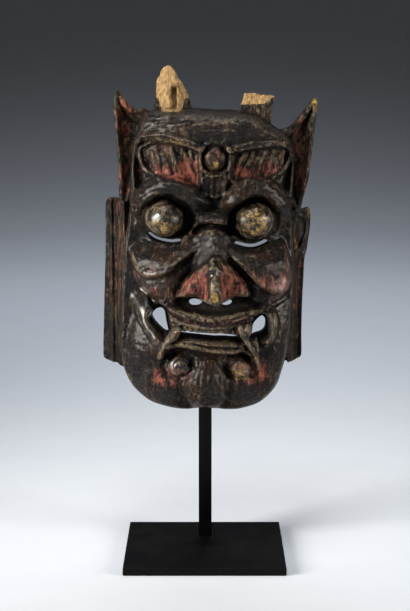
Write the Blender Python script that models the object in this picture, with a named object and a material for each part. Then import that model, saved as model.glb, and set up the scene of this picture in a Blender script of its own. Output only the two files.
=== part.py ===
"""Nuo mask on its steel stand.

The mask is one carved block of wood: a demon face with bulging eyes, flame brows, a jewel in the
forehead, fangs, pointed ears and the stubs of two broken horns. It is hollow at the back and is held
at the chin by a bracket on a flat steel post that stands in a steel base plate.

World frame: metres, Z up, X to the viewer's right, the face looks along -Y. The origin is the middle
of the base plate's underside.
"""

import math

import bpy
import numpy as np
from mathutils import Vector

# Driving sizes, in metres.
MASK_HEIGHT = 0.270
MASK_DEPTH = 0.108
CHIN_HEIGHT = 0.1375
WALL_THICKNESS = 0.012
RIM_THICKNESS = 0.010
BASE_WIDTH = 0.145
BASE_DEPTH = 0.115
BASE_THICKNESS = 0.007
POST_WIDTH = 0.012
POST_DEPTH = 0.025
POST_SETBACK = 0.0115
BRACKET_WIDTH = 0.060
BRACKET_HEIGHT = 0.024
BRACKET_THICKNESS = 0.004
SEAT_DEPTH = 0.0013
CUT_OVERSHOOT = 0.02
SCREW_SPREAD = 0.022
SCREW_DIAMETER = 0.004
SCREW_LENGTH = 0.020
SCREW_HEAD_DIAMETER = 0.0085
SCREW_HEAD_HEIGHT = 0.0026
SCREW_SLOT = 0.001
SCREW_POINT_FROM = 0.8
SLOT_DEPTH_SHARE = 0.45
EDGE_CHAMFER = 0.0008
FIT_CLEARANCE = 0.0003

# Places that follow from them, from the back edge of the base plate forwards.
POST_FRONT_Y = BASE_DEPTH / 2 - POST_SETBACK - POST_DEPTH
BRACKET_BACK_Y = POST_FRONT_Y + BRACKET_THICKNESS / 4
BRACKET_FRONT_Y = BRACKET_BACK_Y - BRACKET_THICKNESS
SEAT_Y = BRACKET_FRONT_Y - FIT_CLEARANCE
CHIN_BACK_Y = SEAT_Y + SEAT_DEPTH

# How finely the mask is meshed: the spacing of the grid it is carved on, and the most triangles kept.
CARVING_STEP = 1.8
ROUND_SIDES = 24
MASK_TRIANGLES = 8600

# Carving units: millimetres on a mask drawn 270 from chin to crown, x to the viewer's right,
# z up from the chin, f forwards from the plane of the back rim.
DRAWN_UNITS_UP = 270.0
DRAWN_UNITS_DEEP = 108.0
MEASURED_WITHIN = 24.0

FACE_OUTLINE = [
    (0, 5.5), (-13, 3.5), (-24, 4), (-36, 6.5), (-48, 10.5), (-58, 17.5), (-66, 26), (-72, 38),
    (-75, 52), (-75.5, 75), (-74, 102), (-73, 129), (-71, 151), (-67, 178), (-65, 199),
    (-64.5, 221), (-62, 238), (-58, 250), (-53, 261), (-46, 268), (-34, 269.5), (-12, 269),
    (9, 267.5), (26, 267), (40, 265), (50, 261), (59, 255), (68, 249), (74, 243), (77.5, 234),
    (78.5, 221), (77.5, 199), (77, 180), (78, 159), (79.5, 137), (79, 110), (77.5, 92), (76, 66),
    (73.5, 52), (70, 39), (66, 27), (59, 17.5), (50, 10), (40, 6), (28, 3.5), (14, 3.5),
]


def smooth_max(a, b, radius):
    """The larger of two surfaces, with the crease between them rounded off."""
    mix = np.clip(0.5 + 0.5 * (a - b) / radius, 0, 1)
    return b + (a - b) * mix + radius * mix * (1 - mix)


def smooth_min(a, b, radius):
    return -smooth_max(-a, -b, radius)


def ease(t):
    t = np.clip(t, 0, 1)
    return t * t * (3 - 2 * t)


def curve_through(points, closed=False, per_span=6):
    """A smooth curve through the given points (Catmull-Rom)."""
    p = np.array(points, float)
    if closed:
        p = np.vstack([p[-1], p, p[0], p[1]])
    else:
        p = np.vstack([2 * p[0] - p[1], p, 2 * p[-1] - p[-2]])
    t = np.linspace(0, 1, per_span, endpoint=False)[:, None]
    spans = []
    for a, b, c, d in zip(p[:-3], p[1:-2], p[2:-1], p[3:]):
        bend, twist = 2 * a - 5 * b + 4 * c - d, 3 * b - a - 3 * c + d
        spans.append(b + 0.5 * ((c - a) * t + bend * t**2 + twist * t**3))
    curve = np.vstack(spans)
    return curve if closed else np.vstack([curve, p[-2]])


def along(x, z, points, closed=False, per_span=6):
    """Distance from a smooth curve, and how far along it (0 to 1) the nearest point is.

    A place farther off than MEASURED_WITHIN counts as just that far.
    """
    curve = curve_through(points, closed, per_span)
    if closed:
        curve = np.vstack([curve, curve[0]])
    low, high = curve.min(axis=0) - MEASURED_WITHIN, curve.max(axis=0) + MEASURED_WITHIN
    rows = slice(*np.searchsorted(x[:, 0], (low[0], high[0])))
    columns = slice(*np.searchsorted(z[0], (low[1], high[1])))
    near_x, near_z = x[rows, columns][:, :1], z[rows, columns][:1]
    steps = np.linalg.norm(np.diff(curve, axis=0), axis=1)
    reached = np.concatenate([[0], np.cumsum(steps)]) / steps.sum()
    best = np.full((near_x.shape[0], near_z.shape[1]), MEASURED_WITHIN**2)
    best_share = np.zeros(best.shape)
    for (ax, az), (bx, bz), step, ra, rb in zip(curve[:-1], curve[1:], steps, reached[:-1], reached[1:]):
        if step < 1e-9:
            continue
        t = np.clip(((near_x - ax) * (bx - ax) + (near_z - az) * (bz - az)) / step**2, 0, 1)
        d = (near_x - ax - t * (bx - ax)) ** 2 + (near_z - az - t * (bz - az)) ** 2
        nearer = d < best
        best[nearer] = d[nearer]
        best_share[nearer] = (ra + t * (rb - ra))[nearer]
    distance = np.full(x.shape, MEASURED_WITHIN)
    share = np.zeros(x.shape)
    distance[rows, columns] = np.sqrt(best)
    share[rows, columns] = best_share
    return distance, share


def within(x, z, points, per_span=6):
    """Distance inside a closed smooth curve, negative outside it."""
    curve = curve_through(points, True, per_span)
    d, _ = along(x, z, points, True, per_span)
    odd = np.zeros(x.shape, bool)
    across, up = x[:, :1], z[:1]
    for (ax, az), (bx, bz) in zip(curve, np.roll(curve, -1, axis=0)):
        if az == bz:
            continue
        crosses = (az > up) != (bz > up)
        odd ^= crosses & (across < (bx - ax) * (up - az) / (bz - az) + ax)
    return np.where(odd, d, -d)


ROLL_FULLNESS = 0.6


def roll(d, width, height):
    """A rounded ridge."""
    t = np.clip(1 - (d / width) ** 2, 0, 1)
    return height * t * (1 + ROLL_FULLNESS * (1 - t))


def swell(d, width, height):
    """A soft ridge that fades into its ground."""
    return height * ease(1 - np.abs(d) / width)


def pillow(inside, edge, height):
    """A raised field with a rounded border."""
    t = np.clip(inside / edge, 0, 1)
    return height * (1 - (1 - t) ** 2)


def oval(x, z, centre, radii, tilt=0.0):
    """0 in the middle of an ellipse, 1 on its edge."""
    c, s = math.cos(math.radians(tilt)), math.sin(math.radians(tilt))
    dx, dz = x - centre[0], z - centre[1]
    return np.sqrt(((dx * c + dz * s) / radii[0]) ** 2 + ((dz * c - dx * s) / radii[1]) ** 2)


def dome(x, z, centre, radii, height, tilt=0.0):
    """A round boss."""
    reach = oval(x, z, centre, radii, tilt)
    return height * np.clip(1.25 - 0.25 * reach**2 - reach**4, 0, 1.25)


def mound(x, z, centre, radii, height, tilt=0.0):
    """A soft swelling, or a hollow if its height is negative."""
    return height * ease(1 - oval(x, z, centre, radii, tilt))


def section(z, stations):
    """A smooth profile through (z, value) stations."""
    line = curve_through(stations)
    return np.interp(z, line[:, 0], line[:, 1])


PROFILE = [
    (-30, 30), (-10, 50), (0, 61), (12, 71), (30, 78), (50, 80), (70, 80), (90, 78), (110, 77), (140, 76),
    (165, 73), (190, 72), (215, 74), (240, 76), (262, 72), (275, 66), (300, 50), (320, 30),
]
CENTRE_LINE = [(-30, 0), (0, 1), (60, 4), (110, 8), (170, 8), (230, 9), (320, 9)]


def block(x, z):
    """The rounded front of the half log before any feature is cut."""
    across = np.abs(x - section(z, CENTRE_LINE)) / 76
    return section(z, PROFILE) - 27 * across**2.3


def crown(x, z, h):
    panel = [
        (-57, 243), (-53, 252), (-50, 261), (-43, 267), (-20, 267), (10, 265.5), (34, 264), (48, 259),
        (60, 252), (69, 244), (60, 243.5), (40, 240.5), (24, 238), (9, 243), (-6, 240), (-22, 243),
        (-42, 246.5),
    ]
    rim = [
        (-58, 240), (-54.5, 250.5), (-51.5, 258.5), (-46, 266), (-37.5, 268.5), (-25, 268.5),
        (0.5, 266.5), (25.5, 265.5), (42.5, 263), (48.5, 260.5), (59.5, 253), (71, 244),
    ]
    h = h + pillow(within(x, z, panel), edge=5, height=3.5)
    d, _ = along(x, z, rim)
    h = h + roll(d, width=2.6, height=2.4)
    for points in (
        [
            (-62, 236), (-58.5, 242), (-54.5, 244.5), (-46, 246), (-33.5, 245.5), (-20.5, 242.5),
            (-10.5, 240), (-3, 237),
        ],
        [
            (20, 236), (26.5, 237), (34, 238.5), (42.5, 240), (51, 241), (59, 242), (67.5, 241),
            (73.5, 237),
        ],
    ):
        d, _ = along(x, z, points)
        h = h - swell(d, width=8, height=2.0) + roll(d, width=3.6, height=5.5)
    return h


FLAME_LEFT = [
    (-54, 236), (-53, 226), (-49, 218.5), (-42, 213), (-33.5, 210.5), (-25, 209), (-16.5, 206),
    (-9, 204.5), (-4.5, 207), (-4, 220), (-5, 233), (-12, 236), (-24, 238.5), (-40, 241),
]
FLAME_RIGHT = [
    (22.5, 231), (23, 220), (23.5, 211), (30, 210.5), (38.5, 210.5), (49, 209.5), (57.5, 211.5),
    (64, 216.5), (70, 224.5), (72, 232), (66, 236.5), (52, 236.5), (38, 234.5), (28, 232.5),
]


def flame_brows(x, z, h):
    """The brows: two sunk fields with a border, filled with slanting locks."""
    for outline, side, start in ((FLAME_LEFT, -1, -50.0), (FLAME_RIGHT, 1, 67.0)):
        inside = within(x, z, outline)
        h = h + roll(inside + 1.4, width=1.8, height=2.0) - pillow(inside, edge=2.5, height=3.5)
        for n in range(8):
            top = start - side * 6.2 * n
            foot = top - side * (2.0 + 1.1 * n)
            lock = [(top, 237), (0.5 * (top + foot) + 0.6 * side, 223), (foot, 206 + 0.2 * n)]
            d, t = along(x, z, lock, per_span=4)
            h = h + roll(d, width=2.9, height=3.2) * ease(inside / 2.0) * (0.4 + 0.6 * ease(2.2 * (1 - t)))
    return h


def third_eye(x, z, h):
    centre = (9, 228.5)
    ring = oval(x, z, centre, (13.5, 14))
    h = h + roll((ring - 1) * 13.5, width=2.4, height=2.6)
    h = h - 4.5 * ease((1 - ring) * 5)
    h = h + dome(x, z, centre=centre, radii=(9.5, 10.5), height=8.5)
    return smooth_max(h, h + dome(x, z, centre=(9.5, 222.5), radii=(4, 5), height=2.2), 0.5)


def nose_root(x, z, h):
    panel = [(-2.5, 214), (20, 214), (19.5, 205), (18, 197), (9, 194), (-1.5, 197), (-2.5, 205)]
    inside = within(x, z, panel)
    h = h + pillow(inside, edge=2.5, height=2.5) + roll(inside - 1.2, width=1.4, height=1.0)
    for groove_x in (3.5, 9.0, 14.5):
        h = h - swell(x - groove_x, width=2.0, height=1.3) * ease(inside / 3)
    h = h + mound(x, z, centre=(8, 188), radii=(27, 13), height=-5)
    d, t = along(x, z, [(-5, 174), (-1, 177.5), (6.5, 179), (14, 177.5), (18.5, 173.5)])
    h = h + roll(d, width=5.0, height=10) * ease(5 * t + 0.3) * ease(5 * (1 - t) + 0.3)
    d, _ = along(x, z, [(-7, 166.5), (-1, 170.2), (7, 171.5), (15, 170.2), (21.5, 166)])
    return h - swell(d, width=5, height=8)


def temples(x, z, h):
    for outline in (
        [(-60, 232), (-61.5, 221), (-61, 209), (-57.5, 199), (-52, 203), (-52.5, 213), (-55.5, 225)],
        [(74.5, 229), (75, 217), (74.5, 205), (71, 199), (66, 204), (66.5, 212), (71, 221)],
    ):
        h = h - pillow(within(x, z, outline), edge=3, height=4.5)
    return h


def brow_arches(x, z, h):
    h = h + mound(x, z, centre=(9, 190), radii=(15, 10), height=7)
    for points in (
        [
            (-60, 186), (-55.5, 192), (-48, 199), (-39, 203.5), (-29, 204.5), (-19, 202), (-11, 196),
            (-4, 188), (0, 180),
        ],
        [
            (18, 181), (21.5, 188), (28, 197.5), (36.5, 203), (45, 204), (54, 201), (61.5, 194),
            (67.5, 184), (71, 176),
        ],
    ):
        d, t = along(x, z, points)
        h = h + roll(d, width=9.2, height=14.0) * ease(4.5 * t + 0.25) * ease(4.5 * (1 - t) + 0.15)
    return h


EYES = [
    {"ball": (-34, 177), "radii": (16.5, 16.0), "socket": (-31, 177), "socket_radii": (25, 20.5)},
    {"ball": (42.5, 175), "radii": (17.0, 16.5), "socket": (42, 176), "socket_radii": (24.5, 20.5)},
]
SOCKET_FLOOR = 61.0
BALL_MIDDLE = 66.0
BALL_BULGE = 18.0


def eyes(x, z, h):
    for eye in EYES:
        socket = oval(x, z, eye["socket"], eye["socket_radii"])
        floor = SOCKET_FLOOR + 0.05 * np.abs(x)
        h = h + (smooth_min(h, floor, 3) - h) * ease((1 - socket) * 4.5)
        h = h + roll((socket - 1.04) * 20, width=3.2, height=1.6)
        reach = oval(x, z, eye["ball"], eye["radii"])
        ball = BALL_MIDDLE + BALL_BULGE * np.sqrt(np.clip(1 - reach**2, 0, 1))
        ball = ball - 40 * np.clip(reach - 1, 0, 1)
        h = smooth_max(h, ball, 1.0)
    return h


CHEEK_LEFT = [
    (0, 152), (-4, 149.5), (-12.5, 145), (-21, 139), (-28, 132), (-35.5, 127), (-47, 124.5),
    (-54.5, 126), (-60.5, 132), (-64.5, 141), (-67, 151), (-65, 160), (-54, 161), (-45, 158.5),
    (-36, 155), (-28, 153.5), (-18, 156), (-9, 161), (-2, 160),
]
CHEEK_RIGHT = [
    (15, 151), (21.5, 143.5), (30.5, 136.5), (37, 128.5), (44, 120.5), (50, 116), (58, 112),
    (66, 111), (72.5, 115), (76, 125), (75.5, 138), (72, 151), (68.5, 161), (60, 160), (53, 155),
    (44, 151.5), (34, 152), (26, 156), (18, 160),
]
TIER_LEFT = [
    (-68, 150), (-66, 134), (-60, 121.5), (-54, 114), (-45.5, 107), (-34, 102.5), (-26, 101.5),
    (-22, 108), (-21, 118), (-14, 130), (-4, 142), (-2, 160), (-20, 175), (-50, 178), (-66, 170),
]
TIER_RIGHT = [
    (18, 160), (20, 143), (31, 132), (37, 120), (37, 108), (41, 104), (50, 102.5), (61, 104),
    (70, 108.5), (76, 117), (78, 130), (76, 150), (74, 170), (55, 178), (30, 175),
]


def cheeks(x, z, h):
    for cheek, tier in ((CHEEK_LEFT, TIER_LEFT), (CHEEK_RIGHT, TIER_RIGHT)):
        fade = ease((160 - z) / 26)
        lower = within(x, z, tier)
        h = h + (pillow(lower, edge=8, height=7) - roll(lower + 1.5, width=3, height=1.5)) * fade
        inside = within(x, z, cheek)
        swollen = pillow(inside, edge=6.5, height=8.5) + roll(inside - 3, width=3, height=1.6)
        h = h + swollen * ease((164 - z) / 24)
    return h


WINGS = [
    (-23, 110), (-22.5, 116), (-19, 123.5), (-12.5, 130.5), (-5.5, 137), (0.5, 142.5), (5, 147),
    (11.5, 147), (18, 141), (26, 137), (32.5, 131), (37, 124.5), (38.5, 117), (37, 110), (22, 110.5),
    (8, 109), (-8, 110.5),
]


def nose(x, z, h):
    d, t = along(x, z, [(8, 172), (7.5, 160), (7, 150), (7, 140)])
    bridge = 82 + 13 * t - 0.72 * d - 0.012 * d**2
    h = smooth_max(h, bridge, 3)
    inside = within(x, z, WINGS)
    rise = ease((150 - z) / 34)
    h = h + pillow(inside, 7, 6 + 8.5) * (0.35 + 0.65 * rise) + roll(inside - 1.6, width=2.0, height=1.8)
    d, t = along(x, z, [(7, 154), (7.5, 141), (8.2, 127), (9, 113.5)])
    tip = 90 + 18 * ease(t * 1.1) - 0.35 * d - 1.9 * np.clip(d - 0.6 - 4.4 * t**1.5, 0, None)
    h = smooth_max(h, tip, 2)
    under = [
        (-25, 109.5), (-27, 104), (-20, 98.5), (-4, 95), (9, 94), (26, 95), (41, 100), (45, 106),
        (38, 111), (22, 109.5), (15, 109), (9, 107.5), (3, 109), (-8, 109.5),
    ]
    inside = within(x, z, under)
    return h + (smooth_min(h, 71 + 0.0 * x, 3) - h) * ease(inside / 3.5)


def mouth(x, z, h):
    h = h + mound(x, z, centre=(4, 78), radii=(60, 36), height=9)
    top = [
        (-37, 104), (-29.5, 99.5), (-21, 96), (-4, 92.5), (9, 91.5), (26, 92.5), (43, 97), (56, 104),
    ]
    mid = [(-31, 92), (-16.5, 88.5), (0.5, 86), (17.5, 86.5), (36, 91)]
    d, _ = along(x, z, top)
    h = h + roll(d, width=3.4, height=4.2)
    d, _ = along(x, z, [(a, b - 4.2) for a, b in top[1:-1]])
    h = h - swell(d, width=3, height=2.0)
    d, _ = along(x, z, mid)
    h = h + roll(d, width=3.2, height=4.5)
    gap = [(-22, 77.5), (-16, 77.6), (-4, 76.5), (4.5, 75.8), (15, 75), (27, 74), (33, 73)]
    d, _ = along(x, z, gap)
    h = h - 15 * ease((4.6 - d) / 3.0)
    for n in range(12):
        tooth_x = -22 + 5.1 * n
        h = smooth_max(h, 88 - 0.05 * abs(tooth_x - 4) ** 1.3 - 30 * np.clip(
            oval(x, z, (tooth_x, 82.2 - 0.03 * tooth_x), (2.4, 2.6)) - 0.75, 0, None), 0.6)
    low_top = [(-31, 68), (-26, 72), (-20, 73.2), (-12, 73.2), (4.5, 71.6), (23.5, 69.4), (33, 68.5)]
    low_mid = [(-28, 69.5), (-18, 71), (4, 69), (24, 66.5), (33, 67)]
    low_bot = [
        (-38, 61), (-34, 65), (-29, 67.6), (-24, 69.3), (-17, 69), (-8, 67.5), (3, 65.6), (14, 63.8),
        (26, 63.3), (33, 65), (38, 62), (42.5, 56), (47, 48),
    ]
    d, _ = along(x, z, low_top)
    h = h + roll(d, width=2.4, height=3.2)
    d, _ = along(x, z, low_bot)
    h = h + roll(d, width=2.8, height=5.0)
    d, _ = along(x, z, [(a, b - 5.5) for a, b in low_bot[1:-2]])
    return h - swell(d, width=5, height=3.5)


HOLE_LEFT = [
    (-46, 92), (-42.5, 97), (-38, 98.5), (-35, 95.5), (-33.5, 87), (-32, 80), (-31.5, 76.5),
    (-35.5, 77.5), (-40.5, 82), (-44.5, 87),
]
HOLE_RIGHT = [
    (50, 91.5), (53, 88), (53, 81), (50.5, 77), (45.5, 75), (39.5, 73.5), (38.5, 77.5), (42, 83.5),
    (46, 88.5),
]


def mouth_corners(x, z, h):
    rims = (
        (HOLE_LEFT, [
            (-58, 116), (-57, 109), (-55, 101), (-51.5, 93), (-47, 85), (-41, 76.5), (-37.5, 69),
            (-37, 60),
        ], 8.5, 9),
        (HOLE_RIGHT, [(52, 101), (57.5, 95), (59.5, 87), (58, 78), (52.5, 71.5), (45, 69)], 5.5, 7),
    )
    for hole, rim, width, height in rims:
        around = within(x, z, hole)
        h = h + (smooth_min(h, 64 + 0 * x, 3) - h) * ease((around + 5.5) / 4.5)
        d, t = along(x, z, rim)
        h = h + roll(d, width, height) * ease(3 * t) * ease(4 * (1 - t)) * ease(-around / 3.5)
    return h


def fangs(x, z, h):
    for points in (
        [(-23, 83), (-26, 78), (-31.5, 72), (-36, 65), (-38.5, 58)],
        [(31, 84), (33.5, 79), (38, 72), (43.5, 62.5), (47.5, 51)],
        [(36, 84), (39.5, 78), (43, 71), (46, 64)],
    ):
        d, t = along(x, z, points)
        width = 3.8 - 1.9 * t
        ridge = 92 - 6 * t - 1.2 * d**2 / width - 6 * np.clip(d - width, 0, None)
        h = smooth_max(h, ridge, 0.8)
    return h


def chin(x, z, h):
    for side, jaw_centre, lobe, curl in (
        (-1, (-55, 62), (-33, 24), (-22.5, 49.5)),
        (1, (60, 62), (36, 24), (31.5, 48.5)),
    ):
        h = h + mound(x, z, centre=jaw_centre, radii=(30, 62), height=7)
        h = h + mound(x, z, centre=lobe, radii=(38, 30), height=8)
        reach = oval(x, z, curl, (10.5, 9.5))
        h = h + 7.5 * np.clip(1 - reach**3, 0, 1) - roll((reach - 1.2) * 10, width=3, height=1.5)
        turn = np.arctan2(z - curl[1], side * (x - curl[0]))
        spiral = np.abs(reach - 0.55 - 0.09 * turn)
        h = h - swell(spiral * 9, width=1.6, height=1.4) * (reach < 1)
    goatee = oval(x, z, (1, 32), (20, 27))
    h = h + 9.5 * np.clip(1 - goatee**2.5, 0, 1) - swell((goatee - 1.1) * 19, width=6, height=1.6)
    h = h + mound(x, z, centre=(1, 9), radii=(15, 16), height=5)
    return h - mound(x, z, centre=(0.5, 0), radii=(9, 7), height=6)


def carve(x, z):
    """How far forward the face stands at each point of its front."""
    features = [
        chin, mouth, cheeks, nose, temples, flame_brows, crown, brow_arches, eyes, nose_root, third_eye,
        mouth_corners, fangs,
    ]
    h = block(x, z)
    for feature in features:
        h = feature(x, z, h)
    return h


HORN_LEFT = [
    (-74, 188), (-75, 207), (-75.5, 224), (-77, 242), (-78.5, 259), (-79, 276), (-76, 286),
    (-72.5, 281), (-68, 275), (-61, 270), (-50, 268), (-48, 255), (-56, 235), (-60, 210), (-66, 188),
]
HORN_RIGHT = [
    (82, 178), (86.5, 194), (90, 207), (92.5, 224), (94.5, 242), (97, 262), (98.3, 273),
    (96.5, 278.5), (92, 275), (87.5, 269), (81.5, 261.5), (74.5, 254), (66, 250), (62, 240),
    (68, 215), (73, 192),
]
EAR_LEFT = [
    (-60, 184), (-66, 189), (-76, 191), (-84, 190.5), (-88, 187), (-88.5, 175), (-88.8, 152),
    (-90, 116), (-91, 98), (-92, 70), (-92.6, 51), (-91.5, 43), (-82, 42.5), (-72, 43), (-66, 60),
    (-60, 120),
]
EAR_RIGHT = [
    (66, 182), (74, 181), (82, 180.5), (86, 180.5), (93.5, 180.5), (94.8, 170), (93, 154),
    (91.5, 143.5), (89.5, 136), (88.8, 121), (87.8, 98), (87.2, 70), (87.5, 52), (85, 46.5), (72, 48),
    (68, 70), (68, 130),
]
EAR_FOLD = [(79, 172), (86, 176), (91.5, 171), (91, 158), (86, 147), (80, 140), (79, 128)]
STUB_LEFT = [
    (-45, 258), (-44, 271), (-43, 281), (-42, 290), (-39, 298), (-35.5, 304), (-31.5, 306.5),
    (-27, 303.5), (-22.5, 295), (-17, 286.5), (-13.5, 278), (-11.5, 268), (-12, 256),
]
STUB_RIGHT = [
    (28, 254), (30, 266), (32.5, 275), (35, 283), (47, 281.5), (60.5, 280), (59.5, 275), (58, 262),
    (57, 248),
]
EYE_SLITS = [
    ([(-47.5, 162.5), (-42.5, 159.3), (-36, 157.6), (-29, 156.8), (-21.5, 157.6)], 1.9),
    ([(27.5, 156), (35, 153.8), (41.5, 153.2), (47.5, 154.6), (53, 156.8)], 2.2),
]
MOUTH_SLIT = ([(-19, 77.6), (-4, 76.6), (4.5, 75.8), (15, 75.2), (27, 74.2)], 2.3)
NOSTRILS = [
    [
        (-13.8, 103.5), (-12.5, 107), (-8, 108.5), (-3.5, 107.5), (-2, 104), (-4, 101), (-8, 100.2),
        (-12, 100.8),
    ],
    [
        (14.5, 103), (16, 106.5), (19.5, 107.8), (23.3, 106), (24, 103), (21.5, 100.7), (18, 100.2),
        (15.2, 101),
    ],
]

# The block's extent on the carving grid.
GRID_ACROSS = (-98, 106)
GRID_AHEAD = (-4, 116)
GRID_UP = (-4, 314)

# How the front turns over into the sides, and the thick chin that takes the screws.
EDGE_FOOT = 34.0
EDGE_RISE = 46.0
EDGE_WIDTH = 22.0
EDGE_SLOPE = 1.5
CHIN_BACK = 17.0
CHIN_TOP = 40.0
CHIN_HALF_WIDTH = 38.0
SEAT_MIDDLE = 21.0
SEAT_X = 0.5
EDGE_ROUNDING = 8.0
JOIN_ROUNDING = 2.5

# How the hollow follows the face, smoothed, and where its floor lies beside the thick chin.
HOLLOW_LOWEST_WITHIN = 7.0
HOLLOW_SMOOTHED_OVER = (8.0, 5.0)
HOLLOW_FLOOR = 14.0
HOLLOW_FLOOR_TURN = 16.0
HOLLOW_SIDE_ROUNDING = 8.0
HOLLOW_ROUNDING = 10.0


def spread(values, cells, choose):
    """Each value against its neighbours up to so many cells away, along both directions."""
    for axis in (0, 1):
        first, last = values.take([0] * cells, axis), values.take([-1] * cells, axis)
        padded = np.concatenate([first, values, last], axis)
        shifted = [padded.take(range(n, n + values.shape[axis]), axis) for n in range(2 * cells + 1)]
        values = choose(shifted, axis=0)
    return values


def side_pieces(x, z):
    """Pointed ears, long side ears and horn stubs: outline distance, front and back of each."""
    tip_left, tip_right = ease((z - 225) / 60), ease((z - 220) / 58)
    for outline, tip in ((HORN_LEFT, tip_left), (HORN_RIGHT, tip_right)):
        inside = within(x, z, outline)
        front = 44 - 8 * tip - 5 * ease((inside - 2.5) / 5) + roll(inside - 3.5, width=3.2, height=1.5)
        yield inside, front, 24 + 4 * tip
    for outline, side, root in ((EAR_LEFT, -1, 70), (EAR_RIGHT, 1, 74)):
        inside = within(x, z, outline, 3)
        out = side * x - root
        front = 49 - 1.5 * np.abs(out) + 3 * ease(1 - inside / 4) - 3.5 * swell(out - 9, width=5, height=1)
        if side > 0:
            front = front + roll(along(x, z, EAR_FOLD)[0], width=3.2, height=4)
        yield inside, front, np.clip(front - 12, 2, 28)
    inside = within(x, z, STUB_LEFT)
    lean = x + 29 - 0.1 * (z - 270)
    front = 42 - 0.035 * lean**2 - 0.16 * (z - 262)
    front = front - 5.5 * (np.abs(x + 26.2) < 2.3) * ease((290 - z) / 4)
    yield inside, front, 20 + 0.02 * lean**2 + 0.08 * (z - 262)
    inside = within(x, z, STUB_RIGHT, 1)
    front = 40 - 0.12 * (z - 262) - 0.5 * ease((z - 276) / 3)
    yield inside, front, 22 + 0 * x


def mask_field(across, ahead, up):
    """The carved block on a grid: positive in the wood, negative outside it."""
    x, z = np.meshgrid(across, up, indexing="ij")
    step = across[1] - across[0]
    inside = within(x, z, FACE_OUTLINE)
    turn = np.sqrt(1 - (1 - np.clip(inside / EDGE_WIDTH, 0, 1)) ** 2)
    edge = EDGE_FOOT + EDGE_RISE * turn + EDGE_SLOPE * np.clip(inside, 0, None)
    face = smooth_min(carve(x, z), edge, EDGE_ROUNDING)
    rim = CHIN_BACK * ease((62 - z) / 20)
    f = ahead[None, :, None]

    def slab(inside, front, back):
        return np.minimum(np.minimum(inside[:, None], front[:, None] - f), f - back[:, None])

    wood = slab(inside, face, rim)
    for piece in side_pieces(x, z):
        wood = smooth_max(wood, slab(*piece), JOIN_ROUNDING)

    wall = WALL_THICKNESS / MASK_DEPTH * DRAWN_UNITS_DEEP
    low = spread(face, max(1, round(HOLLOW_LOWEST_WITHIN / step)), np.min)
    for reach in HOLLOW_SMOOTHED_OVER:
        low = spread(low, max(1, round(reach / step)), np.mean)
    beside_chin = ease((CHIN_HALF_WIDTH + HOLLOW_FLOOR_TURN - np.abs(x - SEAT_X)) / HOLLOW_FLOOR_TURN)
    floor = HOLLOW_FLOOR + (CHIN_TOP - HOLLOW_FLOOR) * beside_chin
    rim_width = RIM_THICKNESS / MASK_HEIGHT * DRAWN_UNITS_UP
    inset = smooth_min(inside - rim_width, z - floor, HOLLOW_SIDE_ROUNDING)
    hollow = smooth_min((low - wall)[:, None] - f, inset[:, None] + 0 * f, HOLLOW_ROUNDING)
    wood = np.minimum(wood, -hollow)

    cuts = [half - along(x, z, points)[0] for points, half in EYE_SLITS + [MOUTH_SLIT]]
    cuts += [within(x, z, outline) for outline in [HOLE_LEFT, HOLE_RIGHT] + NOSTRILS]
    return np.minimum(wood, -np.max(cuts, axis=0)[:, None])


CORNERS = [(i, j, k) for i in (0, 1) for j in (0, 1) for k in (0, 1)]
CELL_EDGES = [(a, b) for a in range(8) for b in (a | 1, a | 2, a | 4) if a != b]


def corner(values, i, j, k):
    """One corner of every cell of the grid."""
    a, b, c = values.shape
    return values[i:a - 1 + i, j:b - 1 + j, k:c - 1 + k]


def torn_cells():
    """Which of the 256 kinds of cell would give a surface that touches itself."""
    links = {n: {b if a == n else a for a, b in CELL_EDGES if n in (a, b)} for n in range(8)}

    def joined(group):
        reached, waiting = set(), [min(group)]
        while waiting:
            n = waiting.pop()
            reached.add(n)
            waiting += [m for m in links[n] & group if m not in reached]
        return reached == group

    torn = np.zeros(256, bool)
    for kind in range(1, 255):
        filled = {n for n in range(8) if kind >> n & 1}
        torn[kind] = not (joined(filled) and joined(set(range(8)) - filled))
    return torn


def kinds_of(values):
    return sum((corner(values, *place) > 0).astype(np.uint8) << n for n, place in enumerate(CORNERS))


def surface(values, across, ahead, up):
    """Surface nets: one point per cell the surface crosses, one four-sided face per crossed grid line."""
    torn = torn_cells()
    for _ in range(20):
        bad = torn[kinds_of(values)]
        if not bad.any():
            break
        for place in CORNERS:
            part = corner(values, *place)
            part[bad & (part <= 0)] = 0.05
    kinds = kinds_of(values)
    crossed = (kinds > 0) & (kinds < 255)
    cells = np.argwhere(crossed)
    number = np.full(crossed.shape, -1)
    number[crossed] = np.arange(len(cells))
    total, count = np.zeros((len(cells), 3)), np.zeros((len(cells), 1))
    levels = [corner(values, *place)[crossed] for place in CORNERS]
    for a, b in CELL_EDGES:
        cut = (levels[a] > 0) != (levels[b] > 0)
        share = levels[a][cut] / (levels[a][cut] - levels[b][cut])
        start, end = np.array(CORNERS[a], float), np.array(CORNERS[b], float)
        total[cut] += start + share[:, None] * (end - start)
        count[cut] += 1
    spot = cells + total / count
    grids = (across, ahead, up)
    points = np.stack([np.interp(spot[:, n], np.arange(len(g)), g) for n, g in enumerate(grids)], 1)
    faces = []
    solid = values > 0
    for axis in range(3):
        before = solid.take(range(solid.shape[axis] - 1), axis)
        after = solid.take(range(1, solid.shape[axis]), axis)
        for first, flip in ((before & ~after, False), (~before & after, True)):
            places = np.argwhere(first)
            u, v = np.zeros(3, int), np.zeros(3, int)
            u[(axis + 1) % 3] = 1
            v[(axis + 2) % 3] = 1
            ring = [number[tuple((places - shift).T)] for shift in (0 * u, u, u + v, v)]
            faces.append(np.stack(ring[::-1] if flip else ring, 1))
    return points, np.vstack(faces)


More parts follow.
